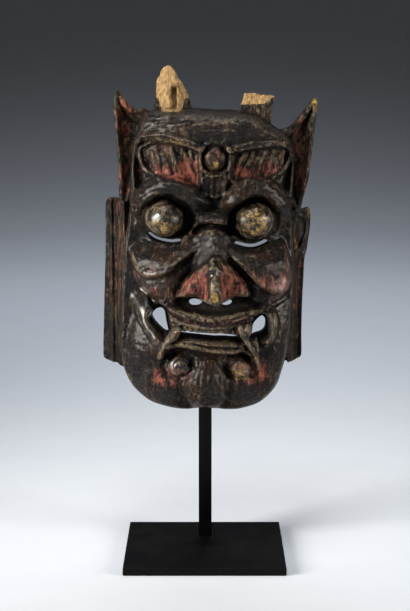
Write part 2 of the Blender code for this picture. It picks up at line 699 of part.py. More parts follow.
def to_world(points):
    """Carving millimetres to world metres."""
    sideways = points[:, 0] / DRAWN_UNITS_UP * MASK_HEIGHT
    back = CHIN_BACK_Y - (points[:, 1] - CHIN_BACK) / DRAWN_UNITS_DEEP * MASK_DEPTH
    height = CHIN_HEIGHT + points[:, 2] / DRAWN_UNITS_UP * MASK_HEIGHT
    return np.stack([sideways, back, height], 1)


def material(name, colour, metallic, roughness):
    made = bpy.data.materials.new(name)
    made.use_nodes = True
    shader = made.node_tree.nodes["Principled BSDF"]
    shader.inputs["Base Color"].default_value = (*colour, 1)
    shader.inputs["Metallic"].default_value = metallic
    shader.inputs["Roughness"].default_value = roughness
    made.diffuse_color = (*colour, 1)
    return made


def add_piece(name, points, faces, made=None):
    mesh = bpy.data.meshes.new(name)
    mesh.from_pydata([tuple(p) for p in points], [], [tuple(f) for f in faces])
    mesh.validate()
    piece = bpy.data.objects.new(name, mesh)
    bpy.context.scene.collection.objects.link(piece)
    if made:
        mesh.materials.append(made)
    return piece


def box(name, low, high, made=None, chamfer=0.0):
    """A box between two corners; with a chamfer its upper edges are broken."""
    (x0, y0, z0), (x1, y1, z1) = low, high
    c = chamfer
    levels = [(z0, 0.0), (z1, 0.0)] if not c else [(z0, 0.0), (z1 - c, 0.0), (z1, c)]
    points = []
    for z, inset in levels:
        a, b, d, e = x0 + inset, x1 - inset, y0 + inset, y1 - inset
        points += [(a, d, z), (b, d, z), (b, e, z), (a, e, z)]
    faces = [(3, 2, 1, 0)]
    for n in range(0, 4 * (len(levels) - 1), 4):
        faces += [(n + m, n + (m + 1) % 4, n + 4 + (m + 1) % 4, n + 4 + m) for m in range(4)]
    last = 4 * (len(levels) - 1)
    faces.append((last, last + 1, last + 2, last + 3))
    return add_piece(name, points, faces, made)


def turned(name, profile, foot, sides, made=None):
    """A round piece along -Y: (how far along, radius) stations, closed at both ends."""
    ring = [2 * math.pi * n / sides for n in range(sides)]
    points, faces = [], []
    for reach, radius in profile:
        if radius == 0:
            points.append(foot + Vector((0, -reach, 0)))
        else:
            points += [foot + Vector((radius * math.cos(a), -reach, radius * math.sin(a))) for a in ring]
    starts, at = [], 0
    for _, radius in profile:
        starts.append(at)
        at += 1 if radius == 0 else sides
    for (a, (_, ra)), (b, (_, rb)) in zip(zip(starts, profile), zip(starts[1:], profile[1:])):
        for n in range(sides):
            m = (n + 1) % sides
            if ra == 0:
                faces.append((a, b + m, b + n))
            elif rb == 0:
                faces.append((a + n, a + m, b))
            else:
                faces.append((a + n, a + m, b + m, b + n))
    if profile[0][1]:
        faces.append(tuple(range(sides - 1, -1, -1)))
    if profile[-1][1]:
        faces.append(tuple(starts[-1] + n for n in range(sides)))
    return add_piece(name, points, faces, made)


def combine(piece, tool, operation):
    """Cut a hidden tool out of a piece, or join it on."""
    tool.hide_render = True
    tool.display_type = "WIRE"
    step = piece.modifiers.new(f"{operation.lower()}_{tool.name}", "BOOLEAN")
    step.operation = operation
    step.solver = "EXACT"
    step.object = tool


def carve_mask(wood):
    """The whole block on a fine grid, then reduced to few triangles."""
    across = np.arange(*GRID_ACROSS, CARVING_STEP)
    ahead = np.arange(*GRID_AHEAD, CARVING_STEP)
    up = np.arange(*GRID_UP, CARVING_STEP)
    points, faces = surface(mask_field(across, ahead, up), across, ahead, up)
    mask = add_piece("mask", to_world(points), faces, wood)
    fewer = mask.modifiers.new("fewer_faces", "DECIMATE")
    fewer.ratio = MASK_TRIANGLES / (2 * len(faces))
    fewer.use_collapse_triangulate = True
    return mask


def make_stand(steel, middle):
    """Base plate, and the post with its bracket welded on."""
    x, _, z = middle
    half_width, half_height = BRACKET_WIDTH / 2, BRACKET_HEIGHT / 2
    left, right = x - POST_WIDTH / 2, x + POST_WIDTH / 2
    post_back = POST_FRONT_Y + POST_DEPTH
    gap = FIT_CLEARANCE
    base = box("base_plate", (-BASE_WIDTH / 2, -BASE_DEPTH / 2, 0),
               (BASE_WIDTH / 2, BASE_DEPTH / 2, BASE_THICKNESS), steel, EDGE_CHAMFER)
    combine(base, box("slot_cutter", (left - gap, POST_FRONT_Y - gap, -CUT_OVERSHOOT),
                      (right + gap, post_back + gap, BASE_THICKNESS + CUT_OVERSHOOT)), "DIFFERENCE")
    post = box("stand_post", (left, POST_FRONT_Y, gap), (right, post_back, z + half_height), steel)
    combine(post, box("bracket", (x - half_width, BRACKET_FRONT_Y, z - half_height),
                      (x + half_width, BRACKET_BACK_Y, z + half_height)), "UNION")
    return post


def let_in_bracket(mask, middle):
    """A flat seat for the bracket, cut into the back of the chin."""
    x, _, z = middle
    reach_x = BRACKET_WIDTH / 2 + FIT_CLEARANCE
    reach_z = BRACKET_HEIGHT / 2 + FIT_CLEARANCE
    combine(mask, box("seat_cutter", (x - reach_x, SEAT_Y, z - reach_z),
                      (x + reach_x, CHIN_BACK_Y + CUT_OVERSHOOT, z + reach_z)), "DIFFERENCE")


def drive_screw(name, side, middle, mask, post, made):
    """A slotted round-head screw through the bracket into the chin, with its bores."""
    foot = Vector((middle[0] + side * SCREW_SPREAD, BRACKET_BACK_Y + FIT_CLEARANCE, middle[2]))
    radius, head = SCREW_DIAMETER / 2, SCREW_HEAD_DIAMETER / 2
    loose = radius + FIT_CLEARANCE
    bore = [(-BRACKET_THICKNESS, loose), (SCREW_LENGTH + 4 * FIT_CLEARANCE, loose)]
    combine(post, turned(f"{name}_bracket_bore", bore, foot, ROUND_SIDES), "DIFFERENCE")
    combine(mask, turned(f"{name}_pilot_bore", bore, foot, ROUND_SIDES), "DIFFERENCE")
    profile = [(-SCREW_HEAD_HEIGHT, 0)]
    profile += [(-SCREW_HEAD_HEIGHT * math.sin(a), head * math.cos(a)) for a in (1.2, 0.85, 0.45, 0.0)]
    profile += [(0.0, radius), (SCREW_LENGTH * SCREW_POINT_FROM, radius), (SCREW_LENGTH, 0)]
    screw = turned(name, profile, foot, ROUND_SIDES, made)
    top = foot.y + SCREW_HEAD_HEIGHT
    half_slot = SCREW_SLOT / 2
    slot_floor = top - SCREW_HEAD_HEIGHT * SLOT_DEPTH_SHARE
    combine(screw, box(f"{name}_slot", (foot.x - head, slot_floor, foot.z - half_slot),
                       (foot.x + head, top + CUT_OVERSHOOT, foot.z + half_slot)), "DIFFERENCE")


def build():
    for old in list(bpy.data.objects):
        bpy.data.objects.remove(old)
    wood = material("lacquered_wood", (0.055, 0.042, 0.034), 0.0, 0.42)
    steel = material("black_steel", (0.012, 0.012, 0.013), 0.6, 0.45)
    zinc = material("screw_steel", (0.35, 0.35, 0.36), 1.0, 0.35)
    middle = tuple(to_world(np.array([[SEAT_X, CHIN_BACK, SEAT_MIDDLE]]))[0])
    mask = carve_mask(wood)
    let_in_bracket(mask, middle)
    post = make_stand(steel, middle)
    for name, side in (("mount_screw_left", -1), ("mount_screw_right", 1)):
        drive_screw(name, side, middle, mask, post, zinc)


build()
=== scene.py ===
# A nuo mask on its steel stand: the finished surfaces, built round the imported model.
# Metres, Z up, the face looks along -Y. Carving is worked out in millimetres on a mask drawn
# 270 high: x to the viewer's right, z up from the chin, f forwards from the plane of the back rim.

import math

import bpy
import numpy as np
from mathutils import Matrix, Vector


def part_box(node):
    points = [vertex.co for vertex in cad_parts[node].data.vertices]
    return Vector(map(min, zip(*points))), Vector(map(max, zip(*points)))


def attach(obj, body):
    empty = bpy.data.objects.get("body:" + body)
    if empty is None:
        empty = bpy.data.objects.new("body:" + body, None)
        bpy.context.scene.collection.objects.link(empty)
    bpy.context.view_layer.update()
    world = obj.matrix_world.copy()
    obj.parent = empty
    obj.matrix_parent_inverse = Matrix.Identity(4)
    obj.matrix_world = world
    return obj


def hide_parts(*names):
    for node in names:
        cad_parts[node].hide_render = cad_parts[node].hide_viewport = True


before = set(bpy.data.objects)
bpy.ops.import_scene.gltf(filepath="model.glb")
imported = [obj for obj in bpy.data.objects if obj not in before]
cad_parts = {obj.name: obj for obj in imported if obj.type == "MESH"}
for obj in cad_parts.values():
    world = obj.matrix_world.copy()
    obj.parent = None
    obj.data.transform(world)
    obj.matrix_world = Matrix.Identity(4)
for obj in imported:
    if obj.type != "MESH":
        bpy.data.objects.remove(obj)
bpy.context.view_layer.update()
print("frame loaded:", sorted(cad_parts))


def linear(hexColour):
    # an sRGB hex colour as linear red, green, blue and alpha
    parts = [int(hexColour[n:n + 2], 16) / 255 for n in (1, 3, 5)]
    return [c / 12.92 if c <= 0.04045 else ((c + 0.055) / 1.055) ** 2.4 for c in parts] + [1.0]


def addNode(tree, kind, settings=None, links=None):
    # A node with its settings and links. Settings are properties or inputs; inputs go by number or by
    # the name of one in use. A link starts at a socket, or at a node and then its first output in use.
    made = tree.nodes.new(kind)

    def inUse(sockets, name=None):
        if isinstance(name, int):
            return sockets[name]
        found = [socket for socket in sockets if socket.enabled and name in (None, socket.name)]
        return found[0] if found else sockets[name]

    for name, value in (settings or {}).items():
        if isinstance(name, str) and hasattr(made, name):
            setattr(made, name, value)
        else:
            inUse(made.inputs, name).default_value = value
    for name, source in (links or {}).items():
        start = inUse(source.outputs) if isinstance(source, bpy.types.Node) else source
        tree.links.new(start, inUse(made.inputs, name))
    return made


def newMaterial(name):
    made = bpy.data.materials.new(name)
    made.use_nodes = True
    tree = made.node_tree
    shader = tree.nodes["Principled BSDF"]
    place = addNode(tree, "ShaderNodeTexCoord").outputs["Object"]
    return made, tree, shader, place


def finishShader(tree, shader, constants, nodes):
    # constants and nodes' results set on the shader's own sockets
    for name, value in constants.items():
        shader.inputs[name].default_value = value
    for name, node in nodes.items():
        tree.links.new(next(socket for socket in node.outputs if socket.enabled), shader.inputs[name])


def perMetre(millimetres):
    # texture scale for a pattern that repeats every so many millimetres
    return 1000 / millimetres


def addPiece(name, points, faces, material, smooth=True, edges=()):
    mesh = bpy.data.meshes.new(name)
    mesh.from_pydata([tuple(p) for p in points], edges, [tuple(f) for f in faces])
    mesh.validate()
    if smooth:
        mesh.shade_smooth()
    piece = bpy.data.objects.new(name, mesh)
    bpy.context.scene.collection.objects.link(piece)
    mesh.materials.append(material)
    return piece


def settle(piece):
    # apply what the modifiers do, so that the piece is a plain mesh
    depsgraph = bpy.context.evaluated_depsgraph_get()
    mesh = bpy.data.meshes.new_from_object(piece.evaluated_get(depsgraph))
    piece.modifiers.clear()
    old, piece.data = piece.data, mesh
    bpy.data.meshes.remove(old)
    return piece


def grown(piece, build, inputs):
    # the piece remade by a node tree; inputs gives each input's name, kind and value
    tree = bpy.data.node_groups.new(piece.name + "Nodes", "GeometryNodeTree")
    tree.interface.new_socket("Geometry", in_out="INPUT", socket_type="NodeSocketGeometry")
    tree.interface.new_socket("Geometry", in_out="OUTPUT", socket_type="NodeSocketGeometry")
    sockets = {name: tree.interface.new_socket(name, in_out="INPUT", socket_type=kind)
               for name, (kind, value) in inputs.items()}
    given = addNode(tree, "NodeGroupInput")
    addNode(tree, "NodeGroupOutput", {}, {0: build(tree, given)})
    nodes = piece.modifiers.new("nodes", "NODES")
    nodes.node_group = tree
    for name, (kind, value) in inputs.items():
        nodes[sockets[name].identifier] = value
    return settle(piece)


farthest = 24.0  # a drawn line has no effect on the carving further off than this

faceOutline = [
    (0, 5.5), (-13, 3.5), (-24, 4), (-36, 6.5), (-48, 10.5), (-58, 17.5), (-66, 26), (-72, 38),
    (-75, 52), (-75.5, 75), (-74, 102), (-73, 129), (-71, 151), (-67, 178), (-65, 199),
    (-64.5, 221), (-62, 238), (-58, 250), (-53, 261), (-46, 268), (-34, 269.5), (-12, 269),
    (9, 267.5), (26, 267), (40, 265), (50, 261), (59, 255), (68, 249), (74, 243), (77.5, 234),
    (78.5, 221), (77.5, 199), (77, 180), (78, 159), (79.5, 137), (79, 110), (77.5, 92), (76, 66),
    (73.5, 52), (70, 39), (66, 27), (59, 17.5), (50, 10), (40, 6), (28, 3.5), (14, 3.5),
]


def smoothMax(a, b, radius):
    mix = np.clip(0.5 + 0.5 * (a - b) / radius, 0, 1)
    return b + (a - b) * mix + radius * mix * (1 - mix)


def smoothMin(a, b, radius):
    return -smoothMax(-a, -b, radius)


def ease(t):
    t = np.clip(t, 0, 1)
    return t * t * (3 - 2 * t)


def curveThrough(points, closed=False, perSpan=6):
    p = np.array(points, float)
    if closed:
        p = np.vstack([p[-1], p, p[0], p[1]])
    else:
        p = np.vstack([2 * p[0] - p[1], p, 2 * p[-1] - p[-2]])
    t = np.linspace(0, 1, perSpan, endpoint=False)[:, None]
    spans = []
    for a, b, c, d in zip(p[:-3], p[1:-2], p[2:-1], p[3:]):
        bend, twist = 2 * a - 5 * b + 4 * c - d, 3 * b - a - 3 * c + d
        spans.append(b + 0.5 * ((c - a) * t + bend * t**2 + twist * t**3))
    curve = np.vstack(spans)
    return curve if closed else np.vstack([curve, p[-2]])


def along(x, z, points, closed=False, perSpan=6):
    curve = curveThrough(points, closed, perSpan)
    if closed:
        curve = np.vstack([curve, curve[0]])
    low, high = curve.min(axis=0) - farthest, curve.max(axis=0) + farthest
    rows = slice(*np.searchsorted(x[:, 0], (low[0], high[0])))
    columns = slice(*np.searchsorted(z[0], (low[1], high[1])))
    nearX, nearZ = x[rows, columns][:, :1], z[rows, columns][:1]
    steps = np.linalg.norm(np.diff(curve, axis=0), axis=1)
    reached = np.concatenate([[0], np.cumsum(steps)]) / steps.sum()
    best = np.full((nearX.shape[0], nearZ.shape[1]), farthest**2)
    bestShare = np.zeros(best.shape)
    for (ax, az), (bx, bz), step, ra, rb in zip(curve[:-1], curve[1:], steps, reached[:-1], reached[1:]):
        if step < 1e-9:
            continue
        t = np.clip(((nearX - ax) * (bx - ax) + (nearZ - az) * (bz - az)) / step**2, 0, 1)
        d = (nearX - ax - t * (bx - ax)) ** 2 + (nearZ - az - t * (bz - az)) ** 2
        nearer = d < best
        best[nearer] = d[nearer]
        bestShare[nearer] = (ra + t * (rb - ra))[nearer]
    distance = np.full(x.shape, farthest)
    share = np.zeros(x.shape)
    distance[rows, columns] = np.sqrt(best)
    share[rows, columns] = bestShare
    return distance, share


def within(x, z, points, perSpan=6):
    curve = curveThrough(points, True, perSpan)
    d, _ = along(x, z, points, True, perSpan)
    odd = np.zeros(x.shape, bool)
    across, up = x[:, :1], z[:1]
    for (ax, az), (bx, bz) in zip(curve, np.roll(curve, -1, axis=0)):
        if az == bz:
            continue
        crosses = (az > up) != (bz > up)
        odd ^= crosses & (across < (bx - ax) * (up - az) / (bz - az) + ax)
    return np.where(odd, d, -d)


rollFullness = 0.6  # how much rounder than a parabola a carved roll is


def roll(d, width, height):
    t = np.clip(1 - (d / width) ** 2, 0, 1)
    return height * t * (1 + rollFullness * (1 - t))


def swell(d, width, height):
    return height * ease(1 - np.abs(d) / width)


def ridge(x, z, points, width, height):
    return roll(along(x, z, points)[0], width, height)


def groove(x, z, points, width, height):
    return swell(along(x, z, points)[0], width, height)


def pillow(inside, edge, height):
    t = np.clip(inside / edge, 0, 1)
    return height * (1 - (1 - t) ** 2)


def oval(x, z, centre, radii, tilt=0.0):
    c, s = math.cos(math.radians(tilt)), math.sin(math.radians(tilt))
    dx, dz = x - centre[0], z - centre[1]
    return np.sqrt(((dx * c + dz * s) / radii[0]) ** 2 + ((dz * c - dx * s) / radii[1]) ** 2)


def dome(x, z, centre, radii, height, tilt=0.0):
    reach = oval(x, z, centre, radii, tilt)
    return height * np.clip(1.25 - 0.25 * reach**2 - reach**4, 0, 1.25)


def mound(x, z, centre, radii, height, tilt=0.0):
    return height * ease(1 - oval(x, z, centre, radii, tilt))


def section(z, stations):
    line = curveThrough(stations)
    return np.interp(z, line[:, 0], line[:, 1])


profile = [
    (-30, 30), (-10, 50), (0, 61), (12, 71), (30, 78), (50, 80), (70, 80), (90, 78), (110, 77), (140, 76),
    (165, 73), (190, 72), (215, 74), (240, 76), (262, 72), (275, 66), (300, 50), (320, 30),
]
centreLine = [(-30, 0), (0, 1), (60, 4), (110, 8), (170, 8), (230, 9), (320, 9)]


def block(x, z):
    across = np.abs(x - section(z, centreLine)) / 76
    return section(z, profile) - 27 * across**2.3


def crown(x, z, h):
    panel = [
        (-57, 243), (-53, 252), (-50, 261), (-43, 267), (-20, 267), (10, 265.5), (34, 264), (48, 259),
        (60, 252), (69, 244), (60, 243.5), (40, 240.5), (24, 238), (9, 243), (-6, 240), (-22, 243),
        (-42, 246.5),
    ]
    rim = [
        (-58, 240), (-54.5, 250.5), (-51.5, 258.5), (-46, 266), (-37.5, 268.5), (-25, 268.5),
        (0.5, 266.5), (25.5, 265.5), (42.5, 263), (48.5, 260.5), (59.5, 253), (71, 244),
    ]
    h = h + pillow(within(x, z, panel), edge=5, height=3.5)
    h = h + ridge(x, z, rim, width=2.6, height=2.4)
    for points in (
        [
            (-62, 236), (-58.5, 242), (-54.5, 244.5), (-46, 246), (-33.5, 245.5), (-20.5, 242.5),
            (-10.5, 240), (-3, 237),
        ],
        [
            (20, 236), (26.5, 237), (34, 238.5), (42.5, 240), (51, 241), (59, 242), (67.5, 241),
            (73.5, 237),
        ],
    ):
        d, _ = along(x, z, points)
        h = h - swell(d, width=8, height=2.0) + roll(d, width=3.6, height=5.5)
    return h


flameLeft = [
    (-54, 236), (-53, 226), (-49, 218.5), (-42, 213), (-33.5, 210.5), (-25, 209), (-16.5, 206),
    (-9, 204.5), (-4.5, 207), (-4, 220), (-5, 233), (-12, 236), (-24, 238.5), (-40, 241),
]
flameRight = [
    (22.5, 231), (23, 220), (23.5, 211), (30, 210.5), (38.5, 210.5), (49, 209.5), (57.5, 211.5),
    (64, 216.5), (70, 224.5), (72, 232), (66, 236.5), (52, 236.5), (38, 234.5), (28, 232.5),
]


def flameBrows(x, z, h):
    for outline, side, start in ((flameLeft, -1, -50.0), (flameRight, 1, 67.0)):
        inside = within(x, z, outline)
        h = h + roll(inside + 1.4, width=1.8, height=2.0) - pillow(inside, edge=2.5, height=2.8)
        for n in range(9):
            sway = math.sin(2.3 * n + side)
            top = start - side * (5.6 * n + 1.3 * sway)
            foot = top - side * (2.5 + 1.1 * n)
            tip = 236 - 3.5 * (n % 2) + sway
            bend = 0.5 * (top + foot) + 1.2 * side
            lock = [(top + 2 * side, tip), (top, tip - 6), (bend, 222), (foot, 206 + 0.2 * n)]
            d, t = along(x, z, lock, perSpan=4)
            full = (0.45 + 0.55 * ease(2.2 * (1 - t))) * (0.8 + 0.35 * sway)
            h = h + roll(d, width=2.0 + 1.6 * t, height=2.5) * ease(inside / 2.0) * full
    return h


def thirdEye(x, z, h):
    centre = (9, 228.5)
    ring = oval(x, z, centre, (13.5, 14))
    h = h + roll((ring - 1) * 13.5, width=2.4, height=2.6)
    h = h - 1.4 * ease((1 - ring) * 4)
    h = h + dome(x, z, centre=centre, radii=(10.3, 11.2), height=5.4)
    return h + ridge(x, z, [(9.5, 226), (9.2, 221)], width=2.6, height=1.2)


def noseRoot(x, z, h):
    panel = [(-2.5, 214), (20, 214), (19.5, 205), (18, 197), (9, 194), (-1.5, 197), (-2.5, 205)]
    inside = within(x, z, panel)
    h = h + pillow(inside, edge=2.5, height=2.5) + roll(inside - 1.2, width=1.4, height=1.0)
    for grooveX in (3.5, 9.0, 14.5):
        h = h - swell(x - grooveX, width=2.0, height=1.3) * ease(inside / 3)
    h = h + mound(x, z, centre=(8, 188), radii=(27, 13), height=-5)
    d, t = along(x, z, [(-5, 174), (-1, 177.5), (6.5, 179), (14, 177.5), (18.5, 173.5)])
    h = h + roll(d, width=5.0, height=10) * ease(5 * t + 0.3) * ease(5 * (1 - t) + 0.3)
    under = [(-7, 166.5), (-1, 170.2), (7, 171.5), (15, 170.2), (21.5, 166)]
    return h - groove(x, z, under, width=5, height=8)


def temples(x, z, h):
    for outline in (
        [(-60, 232), (-61.5, 221), (-61, 209), (-57.5, 199), (-52, 203), (-52.5, 213), (-55.5, 225)],
        [(74.5, 229), (75, 217), (74.5, 205), (71, 199), (66, 204), (66.5, 212), (71, 221)],
    ):
        h = h - pillow(within(x, z, outline), edge=3, height=4.5)
    return h


archLeft = [
    (-60, 186), (-55.5, 192), (-48, 199), (-39, 203.5), (-29, 204.5), (-19, 202), (-11, 196),
    (-4, 188), (0, 180),
]
archRight = [
    (18, 181), (21.5, 188), (28, 197.5), (36.5, 203), (45, 204), (54, 201), (61.5, 194),
    (67.5, 184), (71, 176),
]


def browArches(x, z, h):
    h = h + mound(x, z, centre=(9, 190), radii=(15, 10), height=7)
    for points in (archLeft, archRight):
        d, t = along(x, z, points)
        h = h + roll(d, width=9.2, height=14.0) * ease(4.5 * t + 0.25) * ease(4.5 * (1 - t) + 0.15)
    return h


eyeShapes = [
    {"ball": (-34, 177), "radii": (16.5, 16.0), "socket": (-31, 177), "socketRadii": (25, 20.5)},
    {"ball": (42.5, 175), "radii": (17.0, 16.5), "socket": (42, 176), "socketRadii": (24.5, 20.5)},
]
socketFloor = 64.5
ballMiddle = 66.0
ballBulge = 18.0


def eyes(x, z, h):
    for eye in eyeShapes:
        socket = oval(x, z, eye["socket"], eye["socketRadii"])
        floor = socketFloor + 0.05 * np.abs(x)
        h = h + (smoothMin(h, floor, 3) - h) * ease((1 - socket) * 4.5)
        h = h + roll((socket - 1.04) * 20, width=3.2, height=1.6)
        reach = oval(x, z, eye["ball"], eye["radii"])
        ball = ballMiddle + ballBulge * np.sqrt(np.clip(1 - reach**2, 0, 1))
        ball = ball - 40 * np.clip(reach - 1, 0, 1)
        h = smoothMax(h, ball, 1.0)
    return h


cheekLeft = [
    (0, 152), (-4, 149.5), (-12.5, 145), (-21, 139), (-28, 132), (-35.5, 127), (-47, 124.5),
    (-54.5, 126), (-60.5, 132), (-64.5, 141), (-67, 151), (-65, 160), (-54, 161), (-45, 158.5),
    (-36, 155), (-28, 153.5), (-18, 156), (-9, 161), (-2, 160),
]
cheekRight = [
    (15, 151), (21.5, 143.5), (30.5, 136.5), (37, 128.5), (44, 120.5), (50, 116), (58, 112),
    (66, 111), (72.5, 115), (76, 125), (75.5, 138), (72, 151), (68.5, 161), (60, 160), (53, 155),
    (44, 151.5), (34, 152), (26, 156), (18, 160),
]
tierLeft = [
    (-68, 150), (-66, 134), (-60, 121.5), (-54, 114), (-45.5, 107), (-34, 102.5), (-26, 101.5),
    (-22, 108), (-21, 118), (-14, 130), (-4, 142), (-2, 160), (-20, 175), (-50, 178), (-66, 170),
]
tierRight = [
    (18, 160), (20, 143), (31, 132), (37, 120), (37, 108), (41, 104), (50, 102.5), (61, 104),
    (70, 108.5), (76, 117), (78, 130), (76, 150), (74, 170), (55, 178), (30, 175),
]


def cheeks(x, z, h):
    for cheek, tier in ((cheekLeft, tierLeft), (cheekRight, tierRight)):
        fade = ease((160 - z) / 26)
        lower = within(x, z, tier)
        h = h + (pillow(lower, edge=8, height=7) - roll(lower + 1.5, width=3, height=1.5)) * fade
        inside = within(x, z, cheek)
        full = pillow(inside, edge=6.5, height=8.5) + roll(inside - 3, width=3, height=1.6)
        h = h + full * ease((164 - z) / 24)
    return h


wings = [
    (-23, 110), (-22.5, 116), (-19, 123.5), (-12.5, 130.5), (-5.5, 137), (0.5, 142.5), (5, 147),
    (11.5, 147), (18, 141), (26, 137), (32.5, 131), (37, 124.5), (38.5, 117), (37, 110), (22, 110.5),
    (8, 109), (-8, 110.5),
]


def nose(x, z, h):
    d, t = along(x, z, [(8, 172), (7.5, 160), (7, 150), (7, 140)])
    bridge = 82 + 13 * t - 0.72 * d - 0.012 * d**2
    h = smoothMax(h, bridge, 3)
    inside = within(x, z, wings)
    rise = ease((150 - z) / 34)
    h = h + pillow(inside, edge=7, height=14.5) * (0.35 + 0.65 * rise)
    h = h + roll(inside - 1.6, width=2.0, height=1.8)
    d, t = along(x, z, [(7, 154), (7.5, 141), (8.2, 127), (9, 113.5)])
    tip = 90 + 18 * ease(t * 1.1) - 0.35 * d - 1.9 * np.clip(d - 0.6 - 4.4 * t**1.5, 0, None)
    h = smoothMax(h, tip, 2)
    under = [
        (-25, 109.5), (-27, 104), (-20, 98.5), (-4, 95), (9, 94), (26, 95), (41, 100), (45, 106),
        (38, 111), (22, 109.5), (15, 109), (9, 107.5), (3, 109), (-8, 109.5),
    ]
    inside = within(x, z, under)
    return h + (smoothMin(h, 71, 3) - h) * ease(inside / 3.5)


def mouth(x, z, h):
    h = h + mound(x, z, centre=(4, 78), radii=(60, 36), height=9)
    top = [
        (-37, 104), (-29.5, 99.5), (-21, 96), (-4, 92.5), (9, 91.5), (26, 92.5), (43, 97), (56, 104),
    ]
    mid = [(-31, 92), (-16.5, 88.5), (0.5, 86), (17.5, 86.5), (36, 91)]
    h = h + ridge(x, z, top, width=3.4, height=4.2)
    h = h - groove(x, z, [(a, b - 4.2) for a, b in top[1:-1]], width=3, height=2.0)
    h = h + ridge(x, z, mid, width=3.2, height=4.5)
    gap = [(-22, 77.5), (-16, 77.6), (-4, 76.5), (4.5, 75.8), (15, 75), (27, 74), (33, 73)]
    d, _ = along(x, z, gap)
    h = h - 15 * ease((4.6 - d) / 3.0)
    for n in range(12):
        toothX = -22 + 5.1 * n
        reach = oval(x, z, (toothX, 82.2 - 0.03 * toothX), (2.4, 2.6))
        tooth = 88 - 0.05 * abs(toothX - 4) ** 1.3 - 30 * np.clip(reach - 0.75, 0, None)
        h = smoothMax(h, tooth, 0.6)
    lowTop = [(-31, 68), (-26, 72), (-20, 73.2), (-12, 73.2), (4.5, 71.6), (23.5, 69.4), (33, 68.5)]
    lowBot = [
        (-38, 61), (-34, 65), (-29, 67.6), (-24, 69.3), (-17, 69), (-8, 67.5), (3, 65.6), (14, 63.8),
        (26, 63.3), (33, 65), (38, 62), (42.5, 56), (47, 48),
    ]
    h = h + ridge(x, z, lowTop, width=2.4, height=3.2)
    h = h + ridge(x, z, lowBot, width=2.8, height=5.0)
    return h - groove(x, z, [(a, b - 5.5) for a, b in lowBot[1:-2]], width=5, height=3.5)


holeLeft = [
    (-46, 92), (-42.5, 97), (-38, 98.5), (-35, 95.5), (-33.5, 87), (-32, 80), (-31.5, 76.5),
    (-35.5, 77.5), (-40.5, 82), (-44.5, 87),
]
holeRight = [
    (50, 91.5), (53, 88), (53, 81), (50.5, 77), (45.5, 75), (39.5, 73.5), (38.5, 77.5), (42, 83.5),
    (46, 88.5),
]


def mouthCorners(x, z, h):
    rims = (
        (holeLeft, [
            (-58, 116), (-57, 109), (-55, 101), (-51.5, 93), (-47, 85), (-41, 76.5), (-37.5, 69),
            (-37, 60),
        ], 8.5, 9),
        (holeRight, [(52, 101), (57.5, 95), (59.5, 87), (58, 78), (52.5, 71.5), (45, 69)], 5.5, 7),
    )
    for hole, rim, width, height in rims:
        around = within(x, z, hole)
        h = h + (smoothMin(h, 64, 3) - h) * ease((around + 5.5) / 4.5)
        d, t = along(x, z, rim)
        h = h + roll(d, width, height) * ease(3 * t) * ease(4 * (1 - t)) * ease(-around / 3.5)
    return h


def fangs(x, z, h):
    for points in (
        [(-23, 83), (-26, 78), (-31.5, 72), (-36, 65), (-38.5, 58)],
        [(31, 84), (33.5, 79), (38, 72), (43.5, 62.5), (47.5, 51)],
        [(36, 84), (39.5, 78), (43, 71), (46, 64)],
    ):
        d, t = along(x, z, points)
        width = 3.3 - 1.8 * t
        tusk = 92 - 6 * t - 1.2 * d**2 / width - 6 * np.clip(d - width, 0, None)
        h = smoothMax(h, tusk, 0.8)
    return h


def chin(x, z, h):
    for side, jawCentre, lobe, curl in (
        (-1, (-55, 62), (-33, 24), (-22.5, 49.5)),
        (1, (60, 62), (36, 24), (31.5, 48.5)),
    ):
        h = h + mound(x, z, centre=jawCentre, radii=(30, 62), height=7)
        h = h + mound(x, z, centre=lobe, radii=(38, 30), height=8)
        reach = oval(x, z, curl, (10.5, 9.5))
        h = h + 7.5 * np.clip(1 - reach**3, 0, 1) - roll((reach - 1.2) * 10, width=3, height=1.5)
        turn = np.arctan2(z - curl[1], side * (x - curl[0]))
        spiral = np.abs(reach - 0.55 - 0.09 * turn)
        h = h - swell(spiral * 9, width=1.6, height=1.4) * (reach < 1)
    goatee = oval(x, z, (1, 32), (20, 27))
    h = h + 9.5 * np.clip(1 - goatee**2.5, 0, 1) - swell((goatee - 1.1) * 19, width=6, height=1.6)
    h = h + mound(x, z, centre=(1, 9), radii=(15, 16), height=5)
    return h - mound(x, z, centre=(0.5, 0), radii=(9, 7), height=6)


def carve(x, z):
    features = [
        chin, mouth, cheeks, nose, temples, flameBrows, crown, browArches, eyes, noseRoot, thirdEye,
        mouthCorners, fangs,
    ]
    h = block(x, z)
    for feature in features:
        h = feature(x, z, h)
    return h


hornLeft = [
    (-74, 188), (-75, 207), (-75.5, 224), (-77, 242), (-78.5, 259), (-79, 276), (-76, 286),
    (-72.5, 281), (-68, 275), (-61, 270), (-50, 268), (-48, 255), (-56, 235), (-60, 210), (-66, 188),
]
hornRight = [
    (82, 178), (86.5, 194), (90, 207), (92.5, 224), (94.5, 242), (97, 262), (98.3, 273),
    (96.5, 278.5), (92, 275), (87.5, 269), (81.5, 261.5), (74.5, 254), (66, 250), (62, 240),
    (68, 215), (73, 192),
]
earLeft = [
    (-60, 184), (-66, 189), (-76, 191), (-84, 190.5), (-88, 187), (-88.5, 175), (-88.8, 152),
    (-90, 116), (-91, 98), (-92, 70), (-92.6, 51), (-91.5, 43), (-82, 42.5), (-72, 43), (-66, 60),
    (-60, 120),
]
earRight = [
    (66, 182), (74, 181), (82, 180.5), (86, 180.5), (93.5, 180.5), (94.8, 170), (93, 154),
    (91.5, 143.5), (89.5, 136), (88.8, 121), (87.8, 98), (87.2, 70), (87.5, 52), (85, 46.5), (72, 48),
    (68, 70), (68, 130),
]
